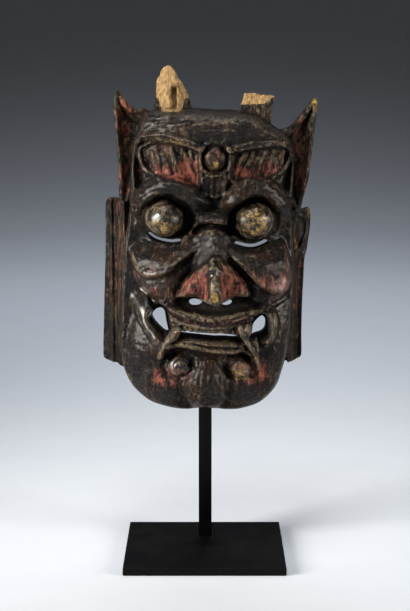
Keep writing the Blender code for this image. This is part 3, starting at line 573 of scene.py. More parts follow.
earFold = [(79, 172), (86, 176), (91.5, 171), (91, 158), (86, 147), (80, 140), (79, 128)]
stubLeft = [
    (-45, 258), (-44, 271), (-43, 281), (-42, 290), (-39, 298), (-35.5, 304), (-31.5, 306.5),
    (-27, 303.5), (-22.5, 295), (-17, 286.5), (-13.5, 278), (-11.5, 268), (-12, 256),
]
stubRight = [
    (28, 254), (30, 266), (32.5, 275), (35, 283), (47, 281.5), (60.5, 280), (59.5, 275), (58, 262),
    (57, 248),
]
eyeSlits = [
    ([(-47.5, 162.5), (-42.5, 159.3), (-36, 157.6), (-29, 156.8), (-21.5, 157.6)], 1.9),
    ([(27.5, 156), (35, 153.8), (41.5, 153.2), (47.5, 154.6), (53, 156.8)], 2.2),
]
mouthSlit = ([(-19, 77.6), (-4, 76.6), (4.5, 75.8), (15, 75.2), (27, 74.2)], 2.3)
nostrils = [
    [
        (-13.8, 103.5), (-12.5, 107), (-8, 108.5), (-3.5, 107.5), (-2, 104), (-4, 101), (-8, 100.2),
        (-12, 100.8),
    ],
    [
        (14.5, 103), (16, 106.5), (19.5, 107.8), (23.3, 106), (24, 103), (21.5, 100.7), (18, 100.2),
        (15.2, 101),
    ],
]

# The block's extent on the carving grid.
gridAcross = (-98, 106)
gridAhead = (-4, 116)
gridUp = (-4, 314)

# How the front turns over into the sides, and the thick chin that takes the screws.
edgeFoot = 34.0
edgeRise = 46.0
edgeWidth = 22.0
edgeSlope = 1.5
chinBack = 17.0
chinTop = 40.0
chinHalfWidth = 38.0
seatMiddle = 21.0
bracketX = 0.5


def spread(values, cells, choose):
    for axis in (0, 1):
        first, last = values.take([0] * cells, axis), values.take([-1] * cells, axis)
        padded = np.concatenate([first, values, last], axis)
        shifted = [padded.take(range(n, n + values.shape[axis]), axis) for n in range(2 * cells + 1)]
        values = choose(shifted, axis=0)
    return values


def sidePieces(x, z):
    tipLeft, tipRight = ease((z - 225) / 60), ease((z - 220) / 58)
    for outline, tip in ((hornLeft, tipLeft), (hornRight, tipRight)):
        inside = within(x, z, outline)
        front = 44 - 8 * tip - 5 * ease((inside - 2.5) / 5) + roll(inside - 3.5, width=3.2, height=1.5)
        yield inside, front, 24 + 4 * tip
    for outline, side, root in ((earLeft, -1, 70), (earRight, 1, 74)):
        inside = within(x, z, outline, 3)
        out = side * x - root
        front = 49 - 1.5 * np.abs(out) + 3 * ease(1 - inside / 4) - 3.5 * swell(out - 9, width=5, height=1)
        if side > 0:
            front = front + ridge(x, z, earFold, width=3.2, height=4)
            front = front + roll(out - 8, width=1.6, height=1.2) * ease((118 - z) / 12)
        else:
            front = front + roll(out - 13, width=1.5, height=2.2) + roll(out - 6, width=1.4, height=1.8)
        yield inside, front, np.clip(front - 12, 2, 28)
    inside = within(x, z, stubLeft)
    lean = x + 29 - 0.1 * (z - 270)
    front = 42 - 0.035 * lean**2 - 0.16 * (z - 262)
    front = front - 3.0 * (np.abs(x + 26.2) < 2.6) * ease((290 - z) / 4)
    yield inside, front, 20 + 0.02 * lean**2 + 0.08 * (z - 262)
    inside = within(x, z, stubRight, 1)
    front = 40 - 0.12 * (z - 262) - 0.5 * ease((z - 276) / 3)
    yield inside, front, np.full(x.shape, 22.0)


maskSizes = {
    "chin": (0, 0.036, 0.1375), "wall": 12, "rim": 10, "seat": (60.6, 24.6), "seatDepth": 1.3,
    "step": 0.9, "quickStep": 2.0, "triangles": 188000,
}


# What time and tools did to the carving: heights in millimetres, sizes in millimetres.
wear = {
    "handHeight": 0.4, "handSize": (13, 17),
    "cutDepth": 0.8, "cutSize": (7, 3.2), "jawCutDepth": 0.7, "jawCutSize": (11, 6),
    "chiselDepth": 2.6, "chiselSize": (15, 3.0), "chiselSway": 0.8, "chiselSwaySize": (20, 9),
    "chiselRough": 0.4, "chiselRoughSize": (7, 1.3),
    "strokeHeight": 0.7, "strokeSize": (2.0, 14), "beardShare": 1.6, "beardSize": (1.5, 15),
    "cheekHeight": 0.45, "cheekSize": (1.5, 15),
    "gougeDepth": 1.1, "gougeSize": (9, 15),
}

# Layers of grain, each with its height, its size and its seed.
wanderX = [(0.7, (9, 12), 31), (0.3, (3, 4), 32)]
wanderZ = [(0.7, (9, 12), 33), (0.3, (4, 3), 34)]
sideGrain = [(0.4, (7, 11), 23), (0.3, (1.8, 13), 24)]
chipGrain = [(0.7, (3, 4), 26), (0.4, (1.3, 1.7), 27)]


randomCells = (97, 89)  # random values along x and z, which repeat after that many patches
randomStart = (31.7, 17.3)


def patches(x, z, sizes):
    # the patch that each point lies in, and how far along it the point is
    u, v = x / sizes[0] + randomStart[0], z / sizes[1] + randomStart[1]
    i, j = np.floor(u).astype(int), np.floor(v).astype(int)
    return i, j, u - i, v - j


def grain(x, z, sizes, seed):
    # smooth random values between -1 and 1, one for every patch of this size
    table = np.random.default_rng(seed).uniform(-1, 1, randomCells)
    i, j, a, b = patches(x, z, sizes)
    a, b = ease(a), ease(b)

    def pick(di, dj):
        return table[(i + di) % randomCells[0], (j + dj) % randomCells[1]]

    low = pick(0, 0) * (1 - a) + pick(1, 0) * a
    high = pick(0, 1) * (1 - a) + pick(1, 1) * a
    return low * (1 - b) + high * b


def layered(x, z, layers):
    return sum(height * grain(x, z, sizes, seed) for height, sizes, seed in layers)


def scallops(x, z, sizes, seed):
    # shallow cuts side by side: 0 in the middle of a cut, up to about 1 on the crests between them
    jitter = np.random.default_rng(seed).uniform(0.05, 0.95, (2, *randomCells))
    i, j, a, b = patches(x, z, sizes)
    nearest = np.full(x.shape, 9.0)
    for di, dj in [(di, dj) for di in (-1, 0, 1) for dj in (-1, 0, 1)]:
        aside, above = jitter[:, (i + di) % randomCells[0], (j + dj) % randomCells[1]]
        nearest = np.minimum(nearest, (a - di - aside) ** 2 + (b - dj - above) ** 2)
    return np.clip(nearest, 0, 1.2)


# The crescent left of the mouth's corner, which is smoother and brighter than the rest.
leftCrescent = [(-60, 124), (-53, 103), (-46, 86), (-37, 70)]


def toolMarks(x, z, h):
    # the whole face a little uneven and cut in small facets, as a knife leaves it
    rough = 1 - 0.8 * ease(1.6 - along(x, z, leftCrescent)[0] / 8)
    h = h + wear["handHeight"] * rough * grain(x, z, wear["handSize"], 3)
    h = h + wear["cutDepth"] * rough * scallops(x + 0.5 * z, z - 0.4 * x, wear["cutSize"], 5)
    # rough level chisel cuts across the upper forehead
    band = ease((z - 248) / 5) * ease((273 - z) / 4)
    sway = z + 0.0025 * (x - 5) ** 2 + wear["chiselSway"] * grain(x, z, wear["chiselSwaySize"], 6)
    cuts = scallops(x, sway, wear["chiselSize"], 7)
    cuts = cuts + wear["chiselRough"] * grain(x, sway, wear["chiselRoughSize"], 8)
    h = h + wear["chiselDepth"] * band * cuts
    # upright strokes: the panel between the brows, and the beard
    panel = ease((9 - np.abs(x - 8.5)) / 2.5) * ease((z - 194) / 4) * ease((216 - z) / 4)
    h = h + wear["strokeHeight"] * panel * grain(x, z, wear["strokeSize"], 9)
    spreadX = (x - 1) * 40 / np.clip(90 - z, 30, 90)
    beard = ease((26 - np.abs(x - 1)) / 8) * ease((64 - z) / 10)
    beardHeight = wear["beardShare"] * wear["strokeHeight"]
    h = h + beardHeight * beard * grain(spreadX, z, wear["beardSize"], 11)
    # broader cuts along the jaw, and strokes that follow the cheeks
    inside = within(x, z, faceOutline)
    jaw = ease((120 - z) / 20) * (1 - beard) * ease((np.abs(x - 4) - 38) / 14)
    h = h + wear["jawCutDepth"] * jaw * rough * scallops(inside, z + 0.5 * x, wear["jawCutSize"], 13)
    for n, outline in enumerate((cheekLeft, cheekRight)):
        inside = within(x, z, outline)
        strokes = grain(0.8 * inside + 0.25 * z, x, wear["cheekSize"], 15 + n)
        h = h + wear["cheekHeight"] * ease(inside / 4) * strokes
    return h


def readMap(values, across, up, x, z):
    # a map's value at each point, between the grid's own
    u = np.clip((x - across[0]) / (across[1] - across[0]), 0, len(across) - 1.001)
    v = np.clip((z - up[0]) / (up[1] - up[0]), 0, len(up) - 1.001)
    i, j = u.astype(int), v.astype(int)
    a, b = u - i, v - j
    low = values[i, j] * (1 - a) + values[i + 1, j] * a
    high = values[i, j + 1] * (1 - a) + values[i + 1, j + 1] * a
    return low * (1 - b) + high * b


def fineFace(across, up):
    # the front at half the grid's spacing, with a wandering hand; then averaged onto the grid
    step = across[1] - across[0]
    fineX = np.arange(across[0] - step / 2, across[-1] + step, step / 2)
    fineZ = np.arange(up[0] - step / 2, up[-1] + step, step / 2)
    x, z = np.meshgrid(fineX, fineZ, indexing="ij")
    drawn = carve(x, z)
    drawn = readMap(drawn, fineX, fineZ, x + layered(x, z, wanderX), z + layered(x, z, wanderZ))
    inside = within(x, z, faceOutline)
    turn = np.sqrt(1 - (1 - np.clip(inside / edgeWidth, 0, 1)) ** 2)
    edge = edgeFoot + edgeRise * turn + edgeSlope * np.clip(inside, 0, None)
    face = smoothMin(toolMarks(x, z, drawn), edge, 8)
    crest = face - spread(spread(face, 3, np.mean), 2, np.mean)
    broad = face - spread(spread(face, 12, np.mean), 9, np.mean)

    def onGrid(part):
        return spread(part, 1, np.mean)[1:1 + 2 * len(across):2, 1:1 + 2 * len(up):2]

    return [onGrid(part) for part in (face, crest, broad)]


def maskField(across, ahead, up):
    x, z = np.meshgrid(across, up, indexing="ij")
    step = across[1] - across[0]
    inside = within(x, z, faceOutline)
    face, crest, broad = fineFace(across, up)
    seat = maskSizes["seatDepth"] * ease((maskSizes["seat"][0] / 2 + 0.5 - np.abs(x - bracketX)) / 0.8)
    seat = seat * ease((maskSizes["seat"][1] / 2 + 0.5 - np.abs(z - seatMiddle)) / 0.8)
    rim = chinBack * ease((62 - z) / 20) + seat
    f = ahead[None, :, None]

    def slab(inside, front, back):
        return np.minimum(np.minimum(inside[:, None], front[:, None] - f), f - back[:, None])

    sway = 0.5 * grain(z, x, (22, 30), 21)
    wood = slab(inside + 0.4 * sway, face, rim)
    broken = ease((z - 266) / 4) * ease((66 - x) / 2) * ease((x + 50) / 2)
    rough = layered(x, z, sideGrain)
    chips = broken * layered(x, z, chipGrain)
    for sideIn, front, back in sidePieces(x, z):
        side = slab(sideIn + 0.5 * sway + chips, front + rough + chips, back - chips)
        wood = smoothMax(wood, side, 2.5)

    low = face  # the front drawn in and smoothed, which the hollow follows
    for reach, choose in ((7, np.min), (8, np.mean), (5, np.mean)):
        low = spread(low, round(reach / step), choose)
    floor = 14 + (chinTop - 14) * ease((chinHalfWidth + 16 - np.abs(x - bracketX)) / 16)
    inset = smoothMin(inside - maskSizes["rim"] + 0.6 * sway, z - floor, 8)
    gouges = wear["gougeDepth"] * scallops(x, z, wear["gougeSize"], 25)
    hollow = smoothMin((low - maskSizes["wall"] - gouges)[:, None] - f, inset[:, None], 10)
    wood = np.minimum(wood, -hollow)

    cuts = [half - along(x, z, points)[0] for points, half in eyeSlits + [mouthSlit]]
    cuts += [within(x, z, outline) for outline in [holeLeft, holeRight] + nostrils]
    return np.minimum(wood, -np.max(cuts, axis=0)[:, None]), inside, face, low, crest, broad


corners = [(i, j, k) for i in (0, 1) for j in (0, 1) for k in (0, 1)]
cellEdges = [(a, b) for a in range(8) for b in (a | 1, a | 2, a | 4) if a != b]


def corner(values, i, j, k):
    a, b, c = values.shape
    return values[i:a - 1 + i, j:b - 1 + j, k:c - 1 + k]


def tornCells():
    links = {n: {b if a == n else a for a, b in cellEdges if n in (a, b)} for n in range(8)}

    def joined(group):
        reached, waiting = set(), [min(group)]
        while waiting:
            n = waiting.pop()
            reached.add(n)
            waiting += [m for m in links[n] & group if m not in reached]
        return reached == group

    torn = np.zeros(256, bool)
    for kind in range(1, 255):
        filled = {n for n in range(8) if kind >> n & 1}
        torn[kind] = not (joined(filled) and joined(set(range(8)) - filled))
    return torn


def kindsOf(values):
    return sum((corner(values, *place) > 0).astype(np.uint8) << n for n, place in enumerate(corners))


def surface(values, across, ahead, up):
    torn = tornCells()
    for _ in range(20):
        bad = torn[kindsOf(values)]
        if not bad.any():
            break
        for place in corners:
            part = corner(values, *place)
            part[bad & (part <= 0)] = 0.05
    kinds = kindsOf(values)
    crossed = (kinds > 0) & (kinds < 255)
    cells = np.argwhere(crossed)
    number = np.full(crossed.shape, -1)
    number[crossed] = np.arange(len(cells))
    total, count = np.zeros((len(cells), 3)), np.zeros((len(cells), 1))
    levels = [corner(values, *place)[crossed] for place in corners]
    for a, b in cellEdges:
        cut = (levels[a] > 0) != (levels[b] > 0)
        share = levels[a][cut] / (levels[a][cut] - levels[b][cut])
        start, end = np.array(corners[a], float), np.array(corners[b], float)
        total[cut] += start + share[:, None] * (end - start)
        count[cut] += 1
    spot = cells + total / count
    grids = (across, ahead, up)
    points = np.stack([np.interp(spot[:, n], np.arange(len(g)), g) for n, g in enumerate(grids)], 1)
    faces = []
    solid = values > 0
    for axis in range(3):
        before = solid.take(range(solid.shape[axis] - 1), axis)
        after = solid.take(range(1, solid.shape[axis]), axis)
        for first, flip in ((before & ~after, False), (~before & after, True)):
            places = np.argwhere(first)
            u, v = np.zeros(3, int), np.zeros(3, int)
            u[(axis + 1) % 3] = 1
            v[(axis + 2) % 3] = 1
            ring = [number[tuple((places - shift).T)] for shift in (0 * u, u, u + v, v)]
            faces.append(np.stack(ring[::-1] if flip else ring, 1))
    return points, np.vstack(faces)


# Marks of old colour and of painted highlight. A spot has its strength, middle and radii; a line its
# strength, points and width.
lowerLip = [(-36, 62), (-24, 69.5), (3, 65.8), (26, 63.5), (38, 62)]
fangLeft = [(-24, 81), (-31.5, 72), (-38, 59)]
fangRight = [(32, 83), (38, 72), (47, 52)]
ballLeft, ballRight = (eye["ball"] for eye in eyeShapes)
colourMarks = {
    "redPaint": {
        "spots": [(0.55, (9, 231), (8, 8)), (0.55, (-30, 40), (22, 13)), (0.7, (40, 44), (22, 14))],
        "lines": [
            (0.35, [(-64, 150), (-60, 130), (-46, 118), (-30, 112)], 5),
            (0.4, [(70, 150), (72, 125), (64, 108)], 6),
            (0.35, [(-35, 96), (-4, 89), (26, 89), (48, 95)], 4),
            (0.4, [(-36, 63), (-19, 66), (4, 63), (30, 60)], 4),
        ],
    },
    "gilding": {
        "spots": [
            (0.72, ballRight, (17, 16)), (0.95, (41, 169), (7, 6)), (0.7, (-20.5, 242), (6, 4)),
            (1.1, (26.5, 237), (3.4, 3.2)), (0.8, (-12, 84.5), (6, 3)), (0.6, (-27, 81), (4, 4)),
            (0.5, (36, 82), (5, 3)), (0.35, (-24.5, 45.5), (8, 7)), (0.75, (32, 45), (11, 11)),
        ],
        "lines": [
            (1, [(7, 124), (9, 113)], 3.4), (0.9, [(9.5, 225), (9.2, 220.5)], 2.4),
            (0.35, [(-46, 246), (-33, 245.5), (-20, 242), (-3, 237)], 2.4),
            (0.35, [(20, 236), (34, 238.5), (51, 241), (67, 241)], 2.4),
            (0.5, [(-24, 83), (4, 82), (36, 81)], 3), (0.4, [(-58, 128), (-47, 126), (-35, 128.5)], 3),
            (0.3, lowerLip, 2.2), (0.4, fangLeft, 2.6), (0.4, fangRight, 2.6),
        ],
    },
    # pale: rubbed pale paint along the lips and fangs; the spots on the eyeballs are painted sheen and
    # highlight, the line down the nose tip a painted highlight
    "paleAndHighlights": {
        "spots": [(0.45, (-36, 181), (12, 9)), (0.35, ballRight, (15, 14))],
        "lines": [
            (0.55, lowerLip, 2.2), (0.45, [(-31, 72.5), (-20, 74), (4.5, 72), (23.5, 70)], 2),
            (0.35, fangLeft, 2.4), (0.35, fangRight, 2.4), (0.8, [(8, 131), (8.5, 123)], 2.4),
        ],
    },
    "polish": {
        "spots": [
            (1, (-24.5, 45.5), (12, 11)), (1, (32, 45), (12, 12)), (0.8, ballLeft, (17, 16)),
            (0.8, ballRight, (17, 16)),
        ],
        "lines": [
            (1, leftCrescent, 9), (0.35, [(66, 122), (60, 100), (51, 82)], 7), (1, [(8, 136), (8, 122)], 4),
            (0.5, [(-60, 128), (-35, 128)], 4), (1, [(26, 143), (46, 120)], 4),
            (1, [(-26, 84), (4, 82), (38, 81)], 4),
        ],
    },
    "sideRed": {
        "spots": [
            (0.7, (-70, 262), (10, 26)), (0.65, (-68, 215), (9, 30)), (0.5, (84, 225), (10, 50)),
            (0.5, (-79, 186), (8, 12)), (0.35, (-74, 130), (8, 60)), (0.4, (82, 120), (6, 50)),
        ],
    },
    "sideGilding": {
        "spots": [
            (1, (96.5, 273), (5, 9)), (0.5, (-71, 268), (5, 18)), (0.7, (92.5, 177), (3, 7)),
            (0.65, (80.5, 148), (3, 12)), (0.4, (-68, 236), (4, 12)),
        ],
    },
}


def nearSpot(x, z, centre, radii):
    return ease((1 - oval(x, z, centre, radii)) * 2.5)


def nearLine(x, z, points, width):
    return ease(1.4 - along(x, z, points)[0] / width)


def patch(x, z, outline, edge):
    return ease(within(x, z, outline) / edge)


def marks(x, z, name, *others):
    # the strongest of a colour's marks at each place, and of the other maps given
    shapes = {"spots": nearSpot, "lines": nearLine}
    found = [strength * shapes[kind](x, z, *sizes)
             for kind, rows in colourMarks[name].items() for strength, *sizes in rows]
    return np.max(found + list(others), axis=0)


def paintMaps(across, up, crest, broad):
    # where the old colours are left, with the dust and painted shade in the hollows, painted highlights and
    # the gloss, from 0 to 1, on the same grid as the carving
    x, z = np.meshgrid(across, up, indexing="ij")
    cheekFoot = ease((146 - z) / 24)
    leftFade = 0.35 + 0.6 * ease((232 + 0.3 * (x + 30) - z) / 16)
    rightFade = 0.36 + 0.45 * ease((230 - z) / 14) * ease(1.3 - np.abs(np.abs(x - 44) - 14) / 16)
    ballGold = nearSpot(x, z, ballLeft, (17, 16)) * (0.15 + 0.75 * ease((180 - 0.2 * (x + 34) - z) / 8))
    red = marks(
        x, z, "redPaint",
        patch(x, z, flameLeft, 3) * ease((x + 58) / 10) * leftFade,
        patch(x, z, flameRight, 3) * rightFade,
        0.8 * patch(x, z, wings, 2.5) * ease((np.abs(x - 8) - 4) / 3),
        0.6 * patch(x, z, cheekLeft, 2) * cheekFoot,
        0.75 * patch(x, z, cheekRight, 2) * cheekFoot,
        0.35 * patch(x, z, [(-60, 232), (-61, 209), (-57, 199), (-52, 204), (-54, 226)], 2),
    )
    # pale rubbed paint, painted highlights and sheen from the pale marks, and paler flame tops
    paleAndHighlights = marks(
        x, z, "paleAndHighlights",
        0.55 * patch(x, z, flameLeft, 2) * ease((z - 222) / 8),
        0.6 * patch(x, z, flameRight, 2) * ease((z - 218) / 8),
    )
    rubbed = 1 - 0.55 * ease((8 - within(x, z, faceOutline)) / 3)
    arches = np.maximum(nearLine(x, z, archLeft, 9), nearLine(x, z, archRight, 9))
    rubbed = rubbed * (1 - 0.6 * arches)
    return {
        "redPaint": red,
        "gilding": marks(x, z, "gilding", ballGold * ease((z - 161) / 6)),
        # ridges rubbed lighter, plus the pale marks with their painted highlights
        "wornAndHighlights": rubbed * (0.9 * ease((crest - 0.07) / 0.48) + 0.25 * ease(broad / 5)) + paleAndHighlights,
        # creases and broad hollows darkened near black: dust with painted shade
        "dustAndShade": 0.8 * ease(-crest / 0.7) + 0.5 * ease(-broad / 5),
        "polish": 0.12 + 0.88 * marks(x, z, "polish"),
    }


def sidePaint(x, z):
    # the same for the pieces beside and above the face, given at points
    stub = (z > 262) & (x > -50) & (x < 66)
    leftRaw = ease((z - 265.5 - 11 * ease((np.abs(x + 28.5) - 8) / 4)) / 3) * ease((x + 43) / 2)
    rightRaw = ease((z - 271 - 0.05 * (x - 35) - 5 * ease((x - 52) / 5)) / 3)
    raw = np.where(x < 10, leftRaw, rightRaw) * stub
    # the slot in the left stub, which is later darkened as painted shade
    slot = (np.abs(x + 26.2) < 2.8) & (z < 291)
    return marks(x, z, "sideRed") * ~stub, marks(x, z, "sideGilding") * ~stub, raw, slot * stub


def toWorld(points):
    # from the carving's millimetres to the frame's metres, where forwards is -Y
    return np.array(maskSizes["chin"]) + points * [0.001, -0.001, 0.001]


def edgesOf(piece, spots):
    # how sharply the surface turns outwards at each point: 0 on the flat, about 1 on an edge
    count = len(spots)
    normals = np.empty(count * 3)
    piece.data.vertices.foreach_get("normal", normals)
    normals = normals.reshape(-1, 3)
    ends = np.empty(2 * len(piece.data.edges), int)
    piece.data.edges.foreach_get("vertices", ends)
    first, second = ends.reshape(-1, 2).T
    way = spots[second] - spots[first]
    way /= np.linalg.norm(way, axis=1)[:, None] + 1e-9
    degree = np.bincount(first, minlength=count) + np.bincount(second, minlength=count)
    turn = np.bincount(second, (normals[second] * way).sum(1), count)
    turn = (turn - np.bincount(first, (normals[first] * way).sum(1), count)) / degree
    for _ in range(2):
        around = np.bincount(first, turn[second], count) + np.bincount(second, turn[first], count)
        turn = 0.5 * turn + 0.5 * around / degree
    return turn


def makeMask(material):
    step = maskSizes["step"]
    across, ahead, up = (np.arange(*span, step) for span in (gridAcross, gridAhead, gridUp))
    field, inside, face, low, crest, broad = maskField(across, ahead, up)
    points, faces = surface(field, across, ahead, up)
    print("mask carved:", len(faces), "faces")
    piece = addPiece("carvedMask", points, faces, material)
    soften = piece.modifiers.new("soften", "SMOOTH")
    soften.factor, soften.iterations = 0.4, 1
    fewer = piece.modifiers.new("fewer", "DECIMATE")
    fewer.ratio = min(1, maskSizes["triangles"] / (2 * len(faces)))
    settle(piece)
    count = len(piece.data.vertices)
    spots = np.empty(count * 3)
    piece.data.vertices.foreach_get("co", spots)
    spots = spots.reshape(-1, 3)
    x, f, z = spots.T

    def here(values):
        return readMap(values, across, up, x, z)

    edgeIn = here(inside)
    onFace = ease((f - here(face) + 9) / 4) * ease((edgeIn + 1.5) / 1.5)
    hollow = ease((here(low) - maskSizes["wall"] + 3.5 - f) / 3)
    hollow = hollow * ease((edgeIn - maskSizes["rim"] + 3) / 2.5)
    red, gilding, raw, slot = sidePaint(x, z)
    aside = 1 - onFace
    maps = {}
    for name, values in paintMaps(across, up, crest, broad).items():
        maps[name] = here(values) * onFace
    maps["redPaint"] += red * aside * (1 - hollow)
    maps["gilding"] += gilding * aside * (1 - hollow)
    plan = np.meshgrid(across, up, indexing="ij")
    inStub = np.maximum(within(*plan, stubLeft), within(*plan, stubRight, 1))
    maps["rawWood"] = raw * (f > 17) * ease((here(inStub) + 1.5) / 1.5)
    # the slot in the left stub darkened: painted shade in the recess
    maps["dustAndShade"] += 0.9 * slot
    maps["bare"] = hollow * aside
    hornWear = (0.2 + 0.14 * (x > 0)) * ease((z - 195) / 15)
    edgeWear = 0.7 * ease((edgesOf(piece, spots) - 0.1) / 0.18)
    maps["wornAndHighlights"] += aside * (1 - hollow) * (0.3 + hornWear + edgeWear)
    for name, values in maps.items():
        layer = piece.data.attributes.new(name, "FLOAT", "POINT")
        layer.data.foreach_set("value", np.clip(values, 0, 1).astype(np.float32))
    piece.data.vertices.foreach_set("co", toWorld(spots).ravel())
    piece.data.flip_normals()
    piece.data.update()
    piece.data.shade_smooth()
    print("mask finished:", len(piece.data.polygons), "faces")
    return piece


# Noises the finish is drawn with: size in millimetres, detail, roughness, and how much they are
# drawn out upright (below 1) or level (above 1).
finishNoises = {
    "cloud": (28, 5, 0.6, 1), "streak": (6, 8, 0.7, 0.22), "fleck": (3, 9, 0.8, 1),
    "levelScratch": (4, 9, 0.76, 4.5), "uprightScratch": (3.5, 9, 0.76, 0.2),
}

# Lacquer tones laid over the darkest one: which noise, from and to what value, how much, colour,
# and whether only where the wood has been handled, which the widest noise picks out.
lacquerTones = [
    ("streak", 0.36, 0.62, 0.8, "#1e1c1d", False), ("levelScratch", 0.5, 0.66, 0.8, "#4c443d", False),
    ("cloud", 0.48, 0.66, 0.75, "#2c1a11", True), ("uprightScratch", 0.5, 0.64, 0.8, "#6a5c4c", True),
    ("fleck", 0.54, 0.68, 0.85, "#857560", True),
]

# The old finish in layers, from the wood and lacquer up to the dust and painted shade. Each layer shows
# where its map on the mesh and a noise together pass a threshold, so that its edges are ragged. Sizes in
# millimetres.
# "upright" below 1 draws the noise out up the wood, "gloss" says whether the varnish stays on the
# layer, and "raised" whether the layer stands up from what is under it.
finishLayers = {
    "redPaint": {"colours": ("#3f1f1c", "#b06e5e"), "size": 5, "ragged": 4.2, "edge": (0.42, 0.95),
                 "most": 0.85, "upright": 0.35, "roughness": 0.5, "gloss": True, "raised": True},
    "gilding": {"colours": ("#2c1d0d", "#bd9f63"), "size": 4.5, "ragged": 5.0, "edge": (0.5, 0.95),
                "most": 0.95, "upright": 1, "roughness": 0.36, "gloss": True, "raised": True},
    # rubbed tan on the ridges; it also draws the painted highlights and sheen of the pale marks
    "wornAndHighlights": {"colours": ("#3c342b", "#9c8e79"), "size": 3.2, "ragged": 4.6, "edge": (0.5, 1.2),
             "most": 0.8, "upright": 0.5, "roughness": 0.5, "gloss": False, "raised": False},
    "rawWood": {"colours": ("#7a6142", "#c4a67c"), "size": 2.6, "ragged": 1.6, "edge": (0.4, 0.62),
                "most": 1.0, "upright": 0.35, "roughness": 0.8, "gloss": False, "raised": False},
    "bare": {"colours": ("#35261a", "#7a6046"), "size": 6, "ragged": 1.0, "edge": (0.3, 0.7),
             "most": 1.0, "upright": 0.2, "roughness": 0.75, "gloss": False, "raised": False},
    # dust and painted shade: dark grey-brown in creases, hollows and the stub's slot
    "dustAndShade": {"colours": ("#0a0807", "#302a23"), "size": 5, "ragged": 2.6, "edge": (0.45, 1.2),
             "most": 0.55, "upright": 0.5, "roughness": 0.8, "gloss": False, "raised": False},
}


